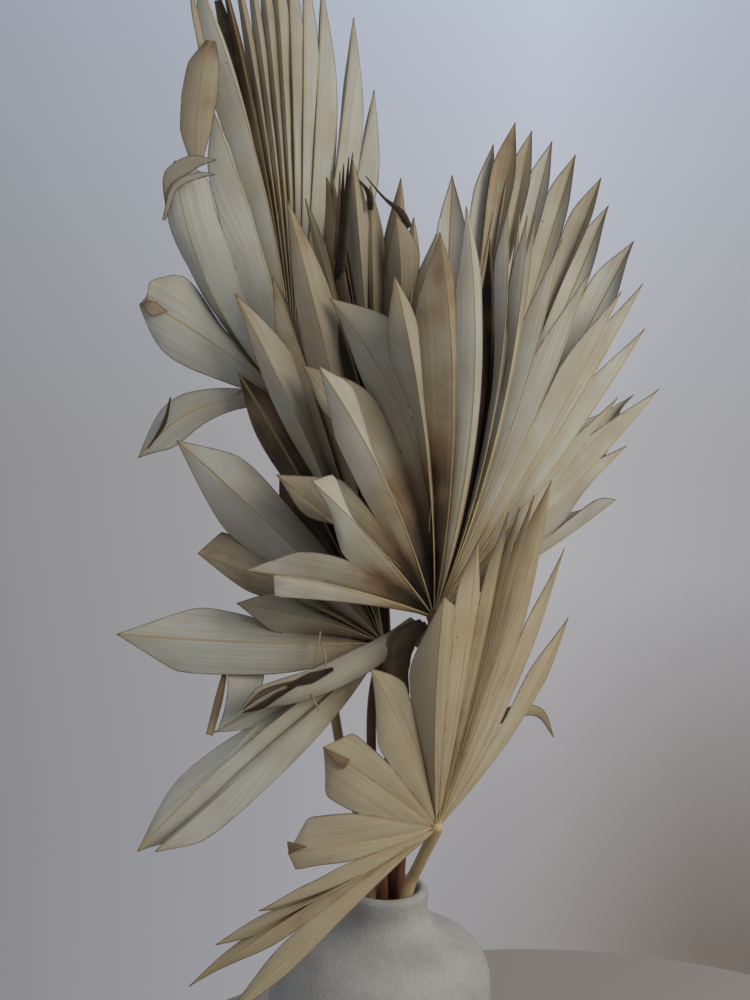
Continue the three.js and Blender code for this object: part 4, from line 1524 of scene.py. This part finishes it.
UPPER_LEAF = PalmLeaf(
    name="upper_left_leaf",
    blade_slot=Slot.PALE_LEAF,
    stalk_slot=Slot.TAN_STALK,
    hub=(-64.3, 86, 557),
    root=5.0,
    joined=0.48,
    swell=1.3,
    dark=0.2,
    seed=23,
    fibres=10,
    stem=Stem(8, 7, (
        (-18, 14, STEM_FOOT), (-18, 14, 30), (-12, 9, 120), (-5, 6, 185), (-32, 32, 300), (-54, 68, 470),
    ), Tone.CREAM),
    segments=(
        Segment(-126, -39, 20, (17, 18), -8, 20, 12, 24, 0.35, cut=(0.84, 0.74), crisp=6, tone=Tone.SAGE),
        Segment(
            -128, 90, 18, (34, 40), 0, 10, 6, 4, 0.5, cut=(0.76, 0.9), crisp=2.6, tone=Tone.SAGE,
            curl=165, curl_from=0.93, crown=0.1,
        ),
        Segment(
            -98, 198, 14, (17, 28), -10, 12, 6, -20, 0.56, cut=(0.84, 0.95), crisp=3, tone=Tone.SAGE,
            crown=0.08,
        ),
        Segment(-68, 240, 4, (24, 9), -26, 34, 4, 6, 0.7, cut=(0.82, 0.8), tone=Tone.SAGE),
        Segment(-82, 351, -6, (24, 9), -22, 38, 4, 14, cut=(0.84, 0.74), tone=Tone.SAGE),
        Segment(-66, 366, -14, (12, 10), 0, 58, 2, 8, tone=Tone.BROWN),
        Segment(-56, 380, -18, (13, 12), 0, 58, 2, 6, tone=Tone.TAN),
        Segment(-45, 388, -22, (14, 12), 0, 56, 2, 5, tone=Tone.CREAM),
        Segment(-34, 393, -26, (14, 13), 4, 46, 2, 4, tone=Tone.CREAM),
        Segment(-22, 395, -30, (16, 15), 10, 40, 2, 3, tone=Tone.PALE),
        Segment(-10, 390, -34, (16, 16), 24, 44, 2, 2, tone=Tone.PALE),
        Segment(3, 377, -38, (15, 17), 28, 46, 2, 2, cut=(0.8, 0.76), tone=Tone.SAGE),
        Segment(18, 354, -44, (16, 20), 30, 44, 2, 2, cut=(0.82, 0.74), tone=Tone.SAGE),
        Segment(44, 328, -50, (17, 22), 32, 46, 2, 4, cut=(0.84, 0.72), tone=Tone.SAGE),
        Segment(61, 269, -56, (17, 20), 34, 44, 2, 4, cut=(0.84, 0.74), tone=Tone.SAGE),
    ),
    strips=(
        Strip(
            ((-69, 294, 14), (-74, 274, 24), (-77, 248, 28), (-80, 220, 25), (-80, 198, 18)),
            (9, 27, 30, 26, 11), face=(10, -10), cup=60, tone=Tone.OCHRE, ribbed=True,
        ),
        Strip(
            ((-103, 160, 17), (-99, 184, 22), (-84, 194, 26), (-63, 196, 30)),
            (4, 15, 13, 0.5), cup=50, tone=Tone.TAN,
        ),
        Strip(
            ((-106, 150, 18), (-96, 176, 24), (-78, 184, 28), (-64, 184, 31)),
            (3, 6, 6, 0.5), cup=40, tone=Tone.CREAM,
        ),
        # A thin dark strip: painted shadow in the fold of the lowest segment.
        Strip(((-100, 9, 25), (-105, -12, 28), (-118, -32, 25)), (1, 4, 0.8), cup=-60, tone=Tone.SCORCHED),
        Strip(((-121, 84, 24), (-113, 79, 25), (-103, 77, 23)), (5, 12, 1), cup=30, tone=Tone.OCHRE),
        Strip(
            ((-72, 250, 0), (-78, 296, 2), (-82, 316, 0), (-86, 336, -4)),
            (4, 7, 7, 4), face=(40, 40), tone=Tone.TAN,
        ),
        # A dark strip: painted shadow in the deep gap between the pleats.
        Strip(
            ((-42, 240, -10), (-50, 279, -14), (-59, 309, -16), (-66, 334, -18)), (1, 8, 12, 6), cup=-50,
            tone=Tone.SCORCHED,
        ),
    ),
)

LEAVES = (RIGHT_LEAF, FRONT_LEAF, MIDDLE_LEAF, BACK_LEAF, UPPER_LEAF)


@dataclass(frozen=True)
class SoftLight:
    """A square studio light with a diffuser in front; place and size in metres, power in watts."""

    name: str
    place: Place
    size: float
    power: float
    colour: str

    def build(self, aim: Place) -> None:
        """Hangs the light.

        Args:
            aim: the place that it faces.
        """
        data = bpy.data.lights.new(self.name, "AREA")
        data.size = self.size
        data.energy = self.power
        data.color = linear(self.colour)[:3]
        lamp = bpy.data.objects.new(self.name, data)
        lamp.location = self.place
        lamp.rotation_euler = (Vector(aim) - Vector(self.place)).to_track_quat("-Z", "Y").to_euler()
        bpy.context.scene.collection.objects.link(lamp)


@dataclass(frozen=True)
class Studio:
    """A round pale floor, soft light from the right and a camera at the photograph's angle; in metres."""

    camera_place: Place = (-0.0025, -1.48, 0.83)
    camera_pitch: float = 12.5
    camera_lens: float = 71.1
    floor_centre: Place = (0.14, -0.145, 0.0)
    floor_radius: float = 0.42
    floor_depth: float = 0.03
    floor_bevel: float = 0.003
    floor_sides: int = 160
    aim: Place = (0.0, 0.0, 0.5)
    lights: tuple[SoftLight, ...] = (
        SoftLight("window", (1.45, -1.1, 1.4), 1.1, 33.0, "#fff9ef"),
        SoftLight("fill", (-1.5, -1.1, 0.9), 1.4, 2.0, "#dfe6f2"),
    )
    low: str = "#98989d"
    middle: str = "#9c9b9d"
    high: str = "#a9b0bc"
    corner: str = "#706861"

    def camera(self) -> None:
        """Makes the scene's camera."""
        data = bpy.data.cameras.new("camera")
        data.lens = self.camera_lens
        data.sensor_width = 36.0
        data.clip_start = 0.05
        camera = bpy.data.objects.new("camera", data)
        camera.location = self.camera_place
        camera.rotation_euler = (math.radians(90 - self.camera_pitch), 0.0, 0.0)
        bpy.context.scene.collection.objects.link(camera)
        bpy.context.scene.camera = camera

    def floor(self) -> None:
        """Makes the plain pale floor."""
        sides, radius, bevel = self.floor_sides, self.floor_radius, self.floor_bevel
        points = []
        for reach, height in ((radius, 0.0), (radius + bevel, -bevel), (radius, -self.floor_depth)):
            for side in range(sides):
                angle = 2 * math.pi * side / sides
                spoke = Vector((math.cos(angle) * reach, math.sin(angle) * reach, height))
                points.append(tuple(Vector(self.floor_centre) + spoke))
        faces = [tuple(range(sides)), tuple(reversed(range(2 * sides, 3 * sides)))]
        for ring in (0, sides):
            for side in range(sides):
                after = (side + 1) % sides
                faces.append((ring + after, ring + side, ring + sides + side, ring + sides + after))
        mesh = bpy.data.meshes.new("floor")
        mesh.from_pydata(points, [], faces)
        mesh.materials.append(PaintedBoard().build())
        floor = bpy.data.objects.new("floor", mesh)
        bpy.context.scene.collection.objects.link(floor)

    def surroundings(self) -> None:
        """Sets a soft grey surround: bluish above, lightest behind the leaves, darker low at the right."""
        world = bpy.data.worlds.new("surround")
        add = emptied(world)
        direction = add("TexCoord", output="Generated")
        sideways, _, upward = add("SeparateXYZ", {0: direction}).node.outputs
        low, high, sinks, ends, right, rises, falls = (
            add("MapRange", {0: source, 1: start, 2: end, 3: at_start, 4: at_end})
            for source, start, end, at_start, at_end in (
                (upward, -0.4, -0.22, 0.0, 1.0),
                (upward, -0.2, 0.03, 0.0, 1.0),
                (upward, -0.42, -0.25, 1.0, 0.0),
                (upward, -0.75, -0.55, 0.0, 1.0),
                (sideways, -0.02, 0.16, 0.0, 1.0),
                (sideways, -0.19, 0.08, 0.82, 1.27),
                (sideways, 0.09, 0.19, 1.0, 0.84),
            )
        )
        corner = add("Math", {0: sinks, 1: right}, operation="MULTIPLY")
        corner = add("Math", {0: corner, 1: ends}, operation="MULTIPLY")
        colour = linear(self.low)
        for cover, shade in ((low, self.middle), (high, self.high), (corner, self.corner)):
            colour = add("Mix", {0: cover, 6: colour, 7: linear(shade)}, 2, data_type="RGBA")
        glow = add("Math", {0: rises, 1: falls}, operation="MULTIPLY")
        colour = add("Mix", {0: 1.0, 6: colour, 7: glow}, 2, data_type="RGBA", blend_type="MULTIPLY")
        add("OutputWorld", {0: add("Background", {"Color": colour})})
        bpy.context.scene.world = world

    def build(self) -> None:
        """Sets the studio up, apart from the camera."""
        bpy.context.scene.view_settings.view_transform = "Standard"
        self.floor()
        self.surroundings()
        for light in self.lights:
            light.build(self.aim)


def main() -> None:
    """Builds the vase, the leaves and the studio."""
    logging.basicConfig(level=logging.INFO, format="%(message)s")
    studio = Studio()
    studio.camera()

    finishes = {
        Slot.STONEWARE: MattStoneware(),
        Slot.PALE_LEAF: DriedPalmBlade("dried_palm_sage"),
        Slot.TAN_LEAF: DriedPalmBlade(
            "dried_palm_cream", pale="#b8ad93", tan="#a69572", cracked=0.95, stained=0.1, translucent=0.25
        ),
        # A darker copy of the blade finish: painted shade for the back leaf, which stands in the others'
        # shade.
        Slot.SHADED_LEAF: DriedPalmBlade("dried_palm_brown", pale="#b0a894", tan="#9a8a6d"),
        Slot.TAN_STALK: DriedStalk("dried_tan_stalk", "#b39a6d", "#6b5232"),
        Slot.RED_BROWN_STALK: DriedStalk("dried_red_brown_stalk", "#a06c4c", "#5a3425"),
    }
    skins = {slot: finish.build() for slot, finish in finishes.items()}
    cord = DriedStalk("dried_midrib", "#b5a378", "#6d5634", fibre_mm=0.8).build()
    BottleVase().build(skins[Slot.STONEWARE])
    for leaf in LEAVES:
        leaf.build(skins, cord)
    studio.build()


if __name__ == "__main__":
    main()
